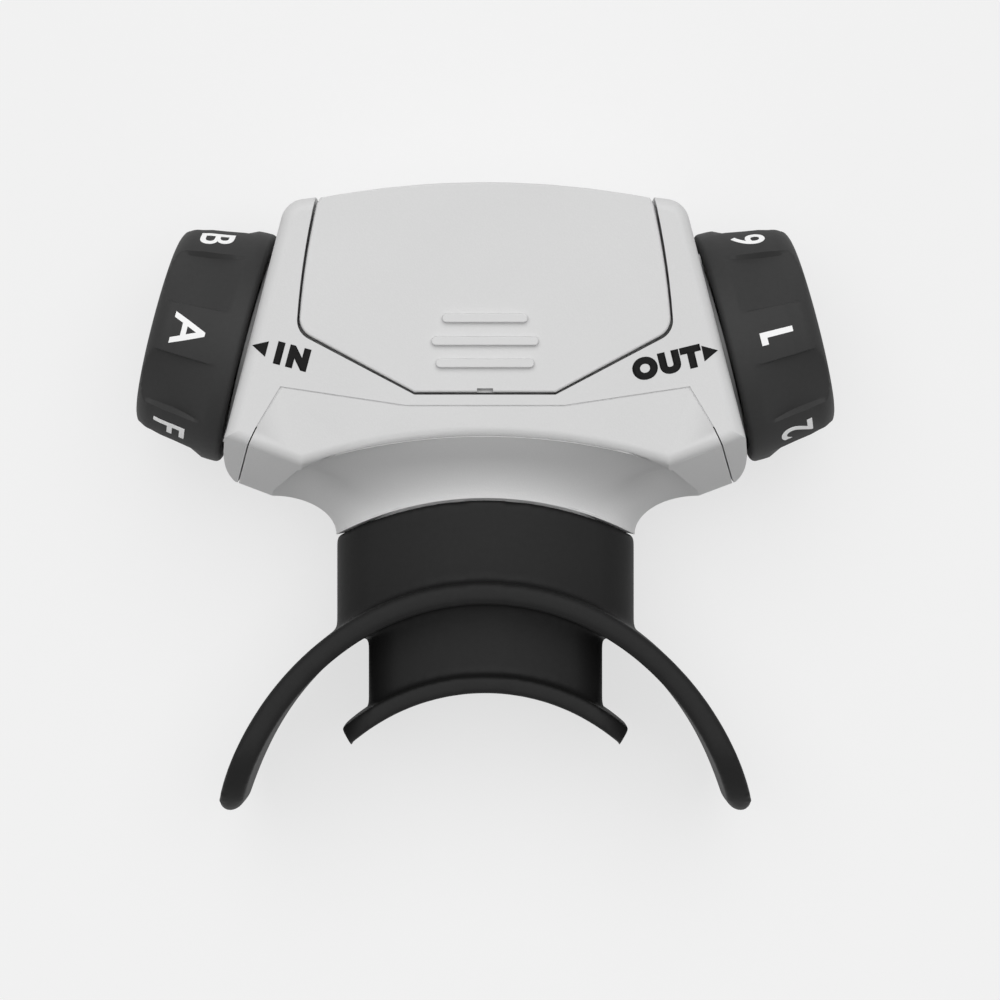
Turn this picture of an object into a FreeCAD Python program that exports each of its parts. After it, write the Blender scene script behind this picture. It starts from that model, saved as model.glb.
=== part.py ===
import FreeCAD, Part
import math
import os
import Sketcher

# Hand-held breathing trainer. Millimetres, +Z up, +Y away from the user, +X towards the OUT dial.
# The flat underside lies on Z = 0 and the origin is the centre of the overall footprint.

os.makedirs("parts", exist_ok=True)
doc = FreeCAD.newDocument("breathing_trainer")
sheet = doc.addObject("Spreadsheet::Sheet", "Dims")

SIZES = [
    ("axis_height", 16.5, "height of the dial and airway axes above the table"),
    ("wall", 2.4, "thickness of the housing walls"),
    ("seam_gap", 0.2, "gap along the seam between the two housings"),
    ("running_gap", 0.3, "gap between pieces that move past each other"),
    ("fit_gap", 0.1, "radial clearance of a push fit"),
    ("port_x", 29.95, "side plane at the dial axis, from the middle"),
    ("port_y", 19.2, "dial centre on the side plane, from the origin"),
    ("dial_tilt", 14.5, "turn of each dial axis towards the front"),
    ("side_front", 18.93, "side plane in front of the dial centre"),
    ("side_rear", 14.2, "side plane behind the dial centre"),
    ("front_radius", 180.0, "plan radius of the front wall"),
    ("heel_x", 33.6, "rear side corner, across"),
    ("heel_y", 2.7, "rear side corner, along"),
    ("rear_x", 28.8, "end of the flat rear edge, across"),
    ("rear_y", -0.15, "flat rear edge, along"),
    ("corner_round", 3.2, "plan radius of the upright housing corners"),
    ("edge_round", 1.6, "radius of the top and bottom housing edges"),
    ("crease_radius", 77.0, "plan radius of the crease above the nozzle"),
    ("crease_y", 7.96, "crease at the middle, along"),
    ("crease_side_x", 32.3, "outer end of the shoulder crease, across"),
    ("crease_side_y", 7.8, "outer end of the shoulder crease, along"),
    ("crease_valley_x", 23.0, "inner end of the shoulder crease, across"),
    ("crease_valley_y", 4.3, "inner end of the shoulder crease, along"),
    ("rear_draft", 18.0, "slope of the rear faces from upright"),
    ("nozzle_half_width", 19.4, "half the width of the nozzle oval"),
    ("nozzle_half_height", 9.6, "half the height of the nozzle oval"),
    ("nozzle_end_round", 7.2, "end radius of the nozzle oval"),
    ("nozzle_root", 7.0, "where the nozzle oval starts inside the housing"),
    ("rim_radius", 42.1, "plan radius of the nozzle rim"),
    ("rim_y", 0.04, "nozzle rim at the middle, along"),
    ("flare", 4.3, "radius of the hollow flare beside the nozzle"),
    ("rim_land", 0.35, "straight nozzle beside the rim before the flare"),
    ("roof_flare", 6.0, "radius of the hollow flare above the nozzle"),
    ("roof_start", 1.3, "straight nozzle above the rim before the flare"),
    ("seam_mid_x", 10.0, "straight part of the top seam, across"),
    ("seam_mid_y", 11.55, "straight part of the top seam, along"),
    ("seam_corner_x", 25.6, "seam corner, across"),
    ("seam_corner_y", 13.9, "seam corner, along"),
    ("seam_side_x", 28.85, "seam beside the dial, across"),
    ("seam_side_y", 8.7, "seam beside the dial, along"),
    ("seam_end_x", 32.2, "seam at the rear edge, across"),
    ("seam_end_y", 1.76, "seam at the rear edge, along"),
    ("plenum_top", 21.4, "ceiling of the air chamber"),
    ("plenum_rear", 9.6, "rear end of the air chamber"),
    ("plenum_rear_x", 26.0, "half width of the air chamber at its rear"),
    ("duct_half_width", 14.3, "half the width of the nozzle duct"),
    ("duct_half_height", 5.8, "half the height of the nozzle duct"),
    ("duct_end_round", 4.6, "end radius of the nozzle duct"),
    ("spigot_wall", 1.9, "wall of the spigot that holds the mouthpiece"),
    ("spigot_end", 12.2, "end of the spigot behind the origin"),
    ("spigot_lip", 0.5, "step of the retaining bead on the spigot"),
    ("cover_rear_x", 8.9, "half width of the straight rear edge of the cover"),
    ("cover_rear_y", 13.35, "rear edge of the cover, along"),
    ("cover_wide_x", 23.5, "widest corner of the cover, across"),
    ("cover_wide_y", 21.2, "widest corner of the cover, along"),
    ("cover_side_radius", 100.0, "plan radius of the cover sides"),
    ("cover_front_x", 20.75, "half width of the cover front"),
    ("cover_front_y", 39.06, "front corner of the cover, along"),
    ("cover_front_radius", 174.0, "plan radius of the cover front"),
    ("cover_corner", 2.6, "plan radius of the widest cover corner"),
    ("cover_skin", 1.8, "thickness of the cover"),
    ("cover_depth", 4.4, "depth of the cover skirt"),
    ("cover_drop", 10.4, "height of the cover's front wall"),
    ("rib_width", 1.15, "width of a thumb rib"),
    ("rib_height", 0.7, "height of a thumb rib"),
    ("notch_width", 2.0, "width of the nail notch"),
    ("tray_half_width", 18.6, "half the width of the module tray"),
    ("tray_rear", 17.2, "rear of the module tray, along"),
    ("tray_rear_x", 8.0, "half width of the straight rear of the tray"),
    ("tray_corner_y", 23.4, "rear corner of the tray sides, along"),
    ("tray_front", 36.9, "front of the module tray, along"),
    ("tray_height", 6.4, "height of the module tray"),
    ("tray_wall", 1.3, "wall of the module tray"),
    ("bay_floor", 22.9, "floor of the module bay"),
    ("screw_x", 15.2, "module screws from the middle"),
    ("screw_margin", 3.3, "module screws from the straight ends of the tray sides"),
    ("screw_radius", 0.8, "thread radius of the small screws"),
    ("head_radius", 1.5, "head radius of the small screws"),
    ("head_height", 0.9, "head height of the small screws"),
    ("board_half_width", 11.6, "half the width of the circuit board"),
    ("board_rear", 22.2, "rear edge of the circuit board, along"),
    ("board_front", 34.4, "front edge of the circuit board, along"),
    ("board_thickness", 1.0, "thickness of the circuit board"),
    ("board_lift", 1.0, "standoffs under the circuit board"),
    ("cell_radius", 5.9, "radius of the coin cell"),
    ("cell_thickness", 1.9, "thickness of the coin cell"),
    ("nipple_radius", 1.1, "radius of the pressure nipple"),
    ("nipple_y", 31.5, "pressure nipple, along"),
    ("bore_radius", 10.9, "bore for the valve barrel in the side wall"),
    ("barrel_length", 8.0, "depth of the valve barrel in the housing"),
    ("barrel_wall", 1.3, "wall of the valve barrel"),
    ("plate_radius", 13.0, "radius of the port plate"),
    ("plate_thickness", 0.6, "thickness of the port plate outside the housing"),
    ("window_offset", 7.9, "windows and breathing holes from the dial axis"),
    ("window_radius", 3.5, "radius of the window and of the largest breathing hole"),
    ("hole_step", 0.42, "each breathing hole is smaller by this radius"),
    ("seal_width", 0.8, "width of the window seal"),
    ("seal_proud", 0.4, "window seal above the port plate"),
    ("disc_start", 1.3, "dial disc from the side plane"),
    ("disc_thickness", 1.6, "thickness of the dial disc"),
    ("disc_radius", 12.3, "outer radius of the hard dial core"),
    ("core_rim", 1.8, "wall of the hard dial rim"),
    ("core_end", 12.0, "outer end of the hard dial rim"),
    ("spindle_radius", 2.4, "radius of the fixed spindle"),
    ("spindle_gap", 0.08, "running fit of the hub on the spindle"),
    ("hub_radius", 4.5, "radius of the dial hub"),
    ("hub_end", 7.8, "outer end of the dial hub"),
    ("washer_thickness", 0.6, "thickness of the dial washer"),
    ("cap_wall", 0.9, "wall of the hub cap"),
    ("cap_end", 11.0, "outer end of the hub cap"),
    ("collar_start", 0.8, "inner end of the grip collar from the side plane"),
    ("collar_radius", 15.2, "radius of the grip collar"),
    ("grip_radius", 14.2, "radius of the grip behind its pads"),
    ("grip_end_radius", 13.8, "radius of the pads at their outer end"),
    ("grip_end", 12.8, "outer end of the grip"),
    ("grip_round", 3.0, "rounding of the outer end of the grip"),
    ("scallop_radius", 9.5, "radius of the hollows between the pads"),
    ("scallop_depth", 1.7, "depth of the hollows at the outer end"),
    ("scallop_tilt", 9.0, "slope of the hollows to the dial axis"),
    ("dial_places", 6.0, "settings of each dial"),
    ("notch_depth", 0.5, "depth of the detent notches"),
    ("notch_ring", 11.3, "detent notches from the dial axis"),
    ("seat_thickness", 1.1, "thickness of the valve seat"),
    ("seat_bore", 1.2, "central hole of the valve seat"),
    ("seat_hole", 2.4, "radius of the valve seat windows"),
    ("seat_ring", 5.3, "valve seat windows from the axis"),
    ("membrane_radius", 8.3, "radius of the valve membrane"),
    ("membrane_thickness", 0.6, "thickness of the valve membrane"),
    ("tube_half_width", 19.3, "half the width of the mouthpiece tube"),
    ("tube_half_height", 9.5, "half the height of the mouthpiece tube"),
    ("tube_length", 20.0, "mouthpiece tube behind the origin"),
    ("flange_width", 35.6, "half the width of the lip flange curve"),
    ("flange_depth", 39.0, "half the depth of the lip flange curve"),
    ("flange_centre", 49.7, "centre of the lip flange curve behind the origin"),
    ("flange_side", 3.1, "thickness of the lip flange at its sides"),
    ("flange_middle", 2.8, "thickness of the lip flange at the middle"),
    ("flange_half_height", 13.0, "half the height of the lip flange"),
    ("flange_corner", 10.0, "corner radius of the lip flange"),
    ("flange_end", 40.3, "tips of the lip flange behind the origin"),
    ("neck_half_width", 15.2, "half the width of the mouthpiece neck"),
    ("neck_half_height", 6.6, "half the height of the mouthpiece neck"),
    ("neck_end_round", 5.2, "end radius of the mouthpiece neck"),
    ("lip_radius", 28.3, "plan radius of the bite lip"),
    ("lip_centre", 51.0, "centre of the bite lip behind the origin"),
    ("lip_thickness", 2.3, "thickness of the bite lip"),
    ("lip_half_width", 18.7, "half the width of the bite lip"),
    ("lip_half_height", 8.4, "half the height of the bite lip"),
    ("lip_corner", 4.5, "corner radius of the bite lip"),
    ("mouth_half_width", 12.6, "half the width of the mouthpiece channel"),
    ("mouth_half_height", 4.4, "half the height of the mouthpiece channel"),
    ("mouth_end_round", 3.6, "end radius of the mouthpiece channel"),
    ("case_screw_x", 18.0, "housing screws from the middle"),
    ("case_screw_y", 17.2, "housing screws, along"),
    ("case_screw_length", 6.6, "length of the housing screws"),
    ("lug_half_width", 3.2, "half the width of a screw lug"),
    ("lug_height", 5.4, "height of a screw lug"),
]


class Size:
    """A size that knows its value and the sheet expression that gives it."""

    def __init__(self, value, text):
        self.value = value
        self.text = text

    def __add__(self, other):
        return Size(self.value + number(other), f"({self.text} + {formula(other)})")

    def __sub__(self, other):
        return Size(self.value - number(other), f"({self.text} - {formula(other)})")

    def __mul__(self, other):
        return Size(self.value * number(other), f"({self.text} * {formula(other)})")

    def __truediv__(self, other):
        return Size(self.value / number(other), f"({self.text} / {formula(other)})")

    def __radd__(self, other):
        return Size(number(other) + self.value, f"({formula(other)} + {self.text})")

    def __rsub__(self, other):
        return Size(number(other) - self.value, f"({formula(other)} - {self.text})")

    def __rmul__(self, other):
        return Size(number(other) * self.value, f"({formula(other)} * {self.text})")

    def __neg__(self):
        return Size(-self.value, f"(0 - {self.text})")


def number(size):
    return size.value if isinstance(size, Size) else float(size)


def formula(size):
    return size.text if isinstance(size, Size) else f"{float(size):.6f}"


def sine(angle):
    return Size(math.sin(math.radians(number(angle))), f"sin({formula(angle)})")


def cosine(angle):
    return Size(math.cos(math.radians(number(angle))), f"cos({formula(angle)})")


def root(square):
    return Size(math.sqrt(number(square)), f"sqrt({formula(square)})")


class Dimensions:
    """The driving sizes by name."""


D = Dimensions()
for row, (alias, value, note) in enumerate(SIZES, start=1):
    sheet.set(f"A{row}", alias)
    sheet.set(f"B{row}", str(value))
    sheet.set(f"C{row}", note)
    sheet.setAlias(f"B{row}", alias)
    setattr(D, alias, Size(value, f"Dims.{alias}"))
doc.recompute()

top_height = D.axis_height * 2.0
dial_step = 360.0 / D.dial_places.value
pieces = {}


# Sizes bound to the sheet, and small building blocks

def bind(obj, name, size):
    """Set one property, and bind it to the sheet where the size comes from there."""
    if isinstance(size, Size):
        obj.setExpression(name, size.text)
    else:
        setattr(obj, name, size)


def move(obj, x=0, y=0, z=0):
    """Put an object's base at a place, bound to the sheet where the place comes from there."""
    obj.Placement.Base = FreeCAD.Vector(number(x), number(y), number(z))
    for axis, size in (("x", x), ("y", y), ("z", z)):
        if isinstance(size, Size):
            obj.setExpression(f"Placement.Base.{axis}", size.text)
    return obj


def origin_plane(body, role):
    return next(item for item in body.Origin.OriginFeatures if item.Role == role)


def arc_centre(start, end, radius, side):
    """Centre of the arc from start to end, to the left of travel where side is 1."""
    middle = (start + end) * 0.5
    chord = end - start
    height = math.sqrt(max(radius * radius - chord.Length * chord.Length / 4, 0))
    normal = FreeCAD.Vector(-chord.y, chord.x, 0).normalize()
    return middle + normal * height * side


def draw(sketch, corners):
    """Draw a closed outline. Each corner is (x, y) or (x, y, radius, side) for an arc that starts there."""
    spots = [FreeCAD.Vector(number(corner[0]), number(corner[1]), 0) for corner in corners]
    starts = []
    ends = []
    for index, corner in enumerate(corners):
        start = spots[index]
        end = spots[(index + 1) % len(spots)]
        if len(corner) == 2:
            edge = sketch.addGeometry(Part.LineSegment(start, end), False)
            first, last = 1, 2
        else:
            radius, side = corner[2], corner[3]
            centre = arc_centre(start, end, number(radius), side)
            angles = [math.atan2(spot.y - centre.y, spot.x - centre.x) for spot in (start, end)]
            first, last = (1, 2) if side > 0 else (2, 1)
            if side < 0:
                angles.reverse()
            circle = Part.Circle(centre, FreeCAD.Vector(0, 0, 1), number(radius))
            edge = sketch.addGeometry(Part.ArcOfCircle(circle, *angles), False)
        starts.append((edge, first))
        ends.append((edge, last))
    for index, corner in enumerate(corners):
        follower = starts[(index + 1) % len(corners)]
        sketch.addConstraint(Sketcher.Constraint("Coincident", *ends[index], *follower))
    for index, corner in enumerate(corners):
        fix_point(sketch, starts[index], corner[0], corner[1])
        if len(corner) == 4:
            edge = starts[index][0]
            mark = sketch.addConstraint(Sketcher.Constraint("Radius", edge, number(corner[2])))
            if isinstance(corner[2], Size):
                sketch.setExpression(f"Constraints[{mark}]", corner[2].text)


def fix_point(sketch, point, x, y):
    """Hold a sketch point at x and y from the origin, bound to the sheet."""
    for kind, size, axis in (("DistanceX", x, -2), ("DistanceY", y, -1)):
        if number(size) == 0:
            sketch.addConstraint(Sketcher.Constraint("PointOnObject", *point, axis))
            continue
        mark = sketch.addConstraint(Sketcher.Constraint(kind, -1, 1, *point, number(size)))
        if isinstance(size, Size):
            sketch.setExpression(f"Constraints[{mark}]", size.text)


def new_sketch(body, name, role):
    sketch = body.newObject("Sketcher::SketchObject", name)
    sketch.AttachmentSupport = (origin_plane(body, role), [""])
    sketch.MapMode = "FlatFace"
    return sketch


def prism(name, corners, height, bottom=0, role="XY_Plane"):
    """A body padded from an outline: up from XY, towards -Y from XZ or towards +X from YZ."""
    body = doc.addObject("PartDesign::Body", name)
    sketch = new_sketch(body, f"{name}_outline", role)
    draw(sketch, corners)
    pad = body.newObject("PartDesign::Pad", f"{name}_pad")
    pad.Profile = sketch
    bind(pad, "Length", height)
    if role == "XY_Plane":
        move(body, z=bottom)
    elif role == "XZ_Plane":
        move(body, y=bottom, z=D.axis_height)
    else:
        move(body, x=bottom, z=D.axis_height)
    return body


def turned(name, corners):
    """A body revolved from a half section: x is the radius and y runs along the axis."""
    body = doc.addObject("PartDesign::Body", name)
    sketch = new_sketch(body, f"{name}_section", "XZ_Plane")
    draw(sketch, corners)
    turn = body.newObject("PartDesign::Revolution", f"{name}_turn")
    turn.Profile = sketch
    turn.ReferenceAxis = (sketch, ["V_Axis"])
    turn.Angle = 360
    return body


def round_edges(body, edges, radius):
    """Fillet the edges that a test picks on the tip of a body."""
    doc.recompute()
    base = body.Tip
    names = [f"Edge{i}" for i, edge in enumerate(base.Shape.Edges, start=1) if edges(edge)]
    fillet = body.newObject("PartDesign::Fillet", f"{body.Name}_fillet")
    fillet.Base = (base, names)
    bind(fillet, "Radius", radius)
    return body


def rounded(name, base, edges, radius):
    """Fillet the edges that a test picks on a boolean result."""
    doc.recompute()
    fillet = doc.addObject("Part::Fillet", name)
    fillet.Base = base
    picked = [i for i, edge in enumerate(base.Shape.Edges, start=1) if edges(edge)]
    fillet.Edges = [(i, number(radius), number(radius)) for i in picked]
    return fillet


def upright(edge):
    ends = [vertex.Point for vertex in edge.Vertexes]
    return len(ends) == 2 and math.hypot(ends[0].x - ends[1].x, ends[0].y - ends[1].y) < 1e-4


def box(name, x, y, z, width, depth, height):
    """A box from its low corner."""
    solid = doc.addObject("Part::Box", name)
    bind(solid, "Length", width)
    bind(solid, "Width", depth)
    bind(solid, "Height", height)
    return move(solid, x, y, z)


def rod(name, radius, height, x=0, y=0, z=0):
    """A cylinder that stands on z."""
    solid = doc.addObject("Part::Cylinder", name)
    bind(solid, "Radius", radius)
    bind(solid, "Height", height)
    return move(solid, x, y, z)


def cone(name, low_radius, high_radius, height, x=0, y=0, z=0):
    solid = doc.addObject("Part::Cone", name)
    bind(solid, "Radius1", low_radius)
    bind(solid, "Radius2", high_radius)
    bind(solid, "Height", height)
    return move(solid, x, y, z)


def joined(name, *solids):
    result = doc.addObject("Part::MultiFuse", name)
    result.Shapes = list(solids)
    result.Refine = True
    return result


def cut(name, base, *tools):
    """Take one or more tools away from a solid."""
    result = doc.addObject("Part::Cut", name)
    result.Base = base
    result.Tool = tools[0] if len(tools) == 1 else joined(f"{name}_tools", *tools)
    return result


def shared(name, base, tool):
    result = doc.addObject("Part::Common", name)
    result.Base = base
    result.Tool = tool
    return result


def mirror_x(name, source):
    result = doc.addObject("Part::Mirroring", name)
    result.Source = source
    result.Normal = (1, 0, 0)
    return result


def piece(name, obj):
    """Name a finished sub-part."""
    obj.Label = name
    pieces[name] = obj
    return obj


def oval(half_width, half_height, end_round):
    """Outline of a flat oval made of four arcs that run into one another."""
    reach = half_width - end_round
    side = (reach * reach + half_height * half_height - end_round * end_round) / (
        (half_height - end_round) * 2)
    span = side - end_round
    x = reach + end_round * reach / span
    y = end_round * (side - half_height) / span
    return [(x, -y, end_round, 1), (x, y, side, 1), (-x, y, end_round, 1), (-x, -y, side, 1)]


def rectangle(half_width, half_height, corner):
    """Outline of a rectangle with round corners."""
    x = half_width - corner
    y = half_height - corner
    return [
        (-x, -half_height), (x, -half_height, corner, 1),
        (half_width, -y), (half_width, y, corner, 1),
        (x, half_height), (-x, half_height, corner, 1),
        (-half_width, y), (-half_width, -y, corner, 1),
    ]


def side_point(forward, outward):
    """A plan point on the right side: along the side plane from the dial centre, and out of it."""
    x = D.port_x + outward * cosine(D.dial_tilt) - forward * sine(D.dial_tilt)
    y = D.port_y + outward * sine(D.dial_tilt) + forward * cosine(D.dial_tilt)
    return x, y


def mirrored_outline(right, closing_arcs=()):
    """Close a right half outline, listed from rear to front, with its mirror image."""
    left = [(-corner[0], corner[1]) for corner in reversed(right)]
    return list(right) + left


# Outer form shared by both housings

def shell_outline():
    front = side_point(D.side_front, 0)
    rear = side_point(-D.side_rear, 0)
    return [
        (D.rear_x, D.rear_y), (D.heel_x, D.heel_y), rear,
        (front[0], front[1], D.front_radius, 1),
        (-front[0], front[1]), (-rear[0], rear[1]), (-D.heel_x, D.heel_y), (-D.rear_x, D.rear_y),
    ]


def shoulder_tool(name, upper):
    """A tilted block that cuts the sloped face behind the right dial."""
    run_x = D.crease_side_x.value - D.crease_valley_x.value
    run_y = D.crease_side_y.value - D.crease_valley_y.value
    heading = math.degrees(math.atan2(run_y, run_x))
    tilt = -D.rear_draft.value if upper else D.rear_draft.value
    reach = D.crease_radius / 2
    block = doc.addObject("Part::Box", name)
    bind(block, "Length", reach)
    bind(block, "Width", reach)
    bind(block, "Height", top_height)
    turn = FreeCAD.Rotation(FreeCAD.Vector(0, 0, 1), heading) * FreeCAD.Rotation(FreeCAD.Vector(1, 0, 0), tilt)
    low = -top_height.value + 2 if upper else -2
    corner = FreeCAD.Vector(-reach.value / 4, -reach.value, low)
    crease = FreeCAD.Vector(D.crease_valley_x.value, D.crease_valley_y.value, top_height.value if upper else 0)
    block.Placement = FreeCAD.Placement(crease, turn) * FreeCAD.Placement(corner, FreeCAD.Rotation())
    return block


def outer_form():
    """The closed outside of the housings: block, scooped rear, nozzle, flare and round edges."""
    block = prism("shell_block", shell_outline(), top_height)
    round_edges(block, upright, D.corner_round)
    slope = sine(D.rear_draft) / cosine(D.rear_draft)
    waist = D.crease_radius - slope * D.axis_height
    beyond = D.crease_radius + slope
    centre = D.crease_y - D.crease_radius
    upper = cone("scoop_upper", waist, beyond, D.axis_height + 1, 0, centre, D.axis_height)
    lower = cone("scoop_lower", beyond, waist, D.axis_height + 1, 0, centre, -1)
    right = [shoulder_tool("shoulder_upper", True), shoulder_tool("shoulder_lower", False)]
    left = [mirror_x(f"{tool.Name}_left", tool) for tool in right]
    body = cut("shell_scooped", block, upper, lower, *right, *left)
    nozzle = doc.addObject("Part::Feature", "nozzle")
    nozzle.Shape = nozzle_shape()
    flared = joined("shell_with_nozzle", body, nozzle)
    arch = rod("rim_arch", D.rim_radius, top_height, 0, D.rim_y - D.rim_radius, 0)
    trimmed = cut("shell_trimmed", flared, arch)
    return rounded("outer_form", trimmed, is_rim_edge, D.edge_round)


def is_rim_edge(edge):
    """Edges that lie in the top or bottom face, in front of the crease."""
    box = edge.BoundBox
    flat = box.ZLength < 1e-4
    level = abs(box.ZMax) < 1e-3 or abs(box.ZMin - top_height.value) < 1e-3
    return flat and level and box.YMax > D.crease_side_y.value + 0.1


def oval_points(half_width, half_height, end_round, per_arc=6):
    """Points round a flat oval, evenly spaced on each of its four arcs."""
    corners = oval(half_width, half_height, end_round)
    points = []
    for index, (x, z, radius, side) in enumerate(corners):
        start = FreeCAD.Vector(number(x), number(z), 0)
        following = corners[(index + 1) % 4]
        end = FreeCAD.Vector(number(following[0]), number(following[1]), 0)
        centre = arc_centre(start, end, number(radius), side)
        first = math.atan2(start.y - centre.y, start.x - centre.x)
        turn = (math.atan2(end.y - centre.y, end.x - centre.x) - first) % (2 * math.pi)
        for step in range(per_arc):
            angle = first + turn * step / per_arc
            points.append((centre.x + number(radius) * math.cos(angle),
                           centre.y + number(radius) * math.sin(angle)))
    return points


def nozzle_shape():
    """The nozzle oval with its hollow flare: ovals wrapped on upright arcs that follow the rim."""
    half_width = D.nozzle_half_width.value
    half_height = D.nozzle_half_height.value
    ring = oval_points(half_width, half_height, D.nozzle_end_round)
    flare = D.flare.value
    roof = D.roof_flare.value
    arch_centre = D.rim_y.value - D.rim_radius.value

    def section(place, flat_y=None):
        """One oval at a distance in front of the rim, grown by the hollow of the flare."""
        side_run = min(max(place - D.rim_land.value, 0), flare)
        roof_run = min(max(place - D.roof_start.value, 0), roof)
        wide = flare - math.sqrt(flare ** 2 - side_run ** 2)
        tall = roof - math.sqrt(roof ** 2 - roof_run ** 2)
        points = []
        for x, z in ring:
            x_grown = x * (half_width + wide) / half_width
            z_grown = z * (half_height + tall) / half_height
            reach = math.sqrt(D.rim_radius.value ** 2 - x_grown ** 2)
            y = arch_centre + reach + place if flat_y is None else flat_y
            points.append(FreeCAD.Vector(x_grown, y, z_grown + D.axis_height.value))
        curve = Part.BSplineCurve()
        curve.interpolate(points, PeriodicFlag=True)
        return Part.Wire([curve.toShape()])

    land = D.rim_land.value
    wires = [section(flare, D.nozzle_root.value + flare)]
    wires += [section(land + flare * math.sin(math.radians(angle))) for angle in range(80, -1, -10)]
    wires += [section(-flare / 2), section(-flare, arch_centre + D.rim_radius.value - flare * 2.4)]
    return Part.makeLoft(wires, True, True)


def seam_outline(grow):
    """Plan of the part that the rear housing fills, grown by the seam gap for the front housing."""
    right = [
        (D.seam_end_x + grow + (D.seam_end_x - D.seam_side_x), D.seam_end_y * 2 - D.seam_side_y - 20),
        (D.seam_end_x + grow, D.seam_end_y), (D.seam_side_x + grow, D.seam_side_y),
        (D.seam_corner_x + grow, D.seam_corner_y + grow), (D.seam_mid_x, D.seam_mid_y + grow),
    ]
    return mirrored_outline(right)


def chamber():
    """The air chamber between both valves and the nozzle."""
    rear = side_point(-(D.side_rear - D.wall * 2), -D.wall)
    front = side_point(D.side_front - D.wall * 2, -D.wall)
    right = [(D.plenum_rear_x, D.plenum_rear), rear, front,
             (front[0] - D.wall, front[1] + D.wall)]
    return prism("air_chamber", mirrored_outline(right), D.plenum_top - D.wall, D.wall)


def on_side(obj, side):
    """Turn a piece made about its own Z axis onto the left (-1) or right (1) dial axis."""
    tilt = math.radians(D.dial_tilt.value)
    outward = FreeCAD.Vector(side * math.cos(tilt), math.sin(tilt), 0)
    up = FreeCAD.Vector(0, 0, 1)
    turn = FreeCAD.Rotation(up, outward.cross(up), outward, "ZXY")
    spot = FreeCAD.Vector(side * D.port_x.value, D.port_y.value, D.axis_height.value)
    obj.Placement = FreeCAD.Placement(spot, turn)
    return obj


# Module cover outline, grown by the running gap for its opening

def cover_outline(grow):
    front_reach = D.cover_front_y + grow
    return [
        (D.cover_rear_x, D.cover_rear_y - grow),
        (D.cover_wide_x + grow, D.cover_wide_y - grow, D.cover_side_radius, 1),
        (D.cover_front_x + grow, front_reach, D.cover_front_radius, 1),
        (-(D.cover_front_x + grow), front_reach, D.cover_side_radius, 1),
        (-(D.cover_wide_x + grow), D.cover_wide_y - grow),
        (-D.cover_rear_x, D.cover_rear_y - grow),
    ]


def tray_outline(grow):
    """Plan of the tray, grown for its room or shrunk by its wall."""
    right = [(D.tray_rear_x, D.tray_rear - grow), (D.tray_half_width + grow, D.tray_corner_y - grow),
             (D.tray_half_width + grow, D.tray_front + grow)]
    return mirrored_outline(right)


def is_wide_corner(edge):
    box = edge.BoundBox
    return upright(edge) and abs(abs(box.Center.x) - D.cover_wide_x.value) < 1.0 and box.Center.y < (
        D.cover_wide_y.value + 1)


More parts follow.
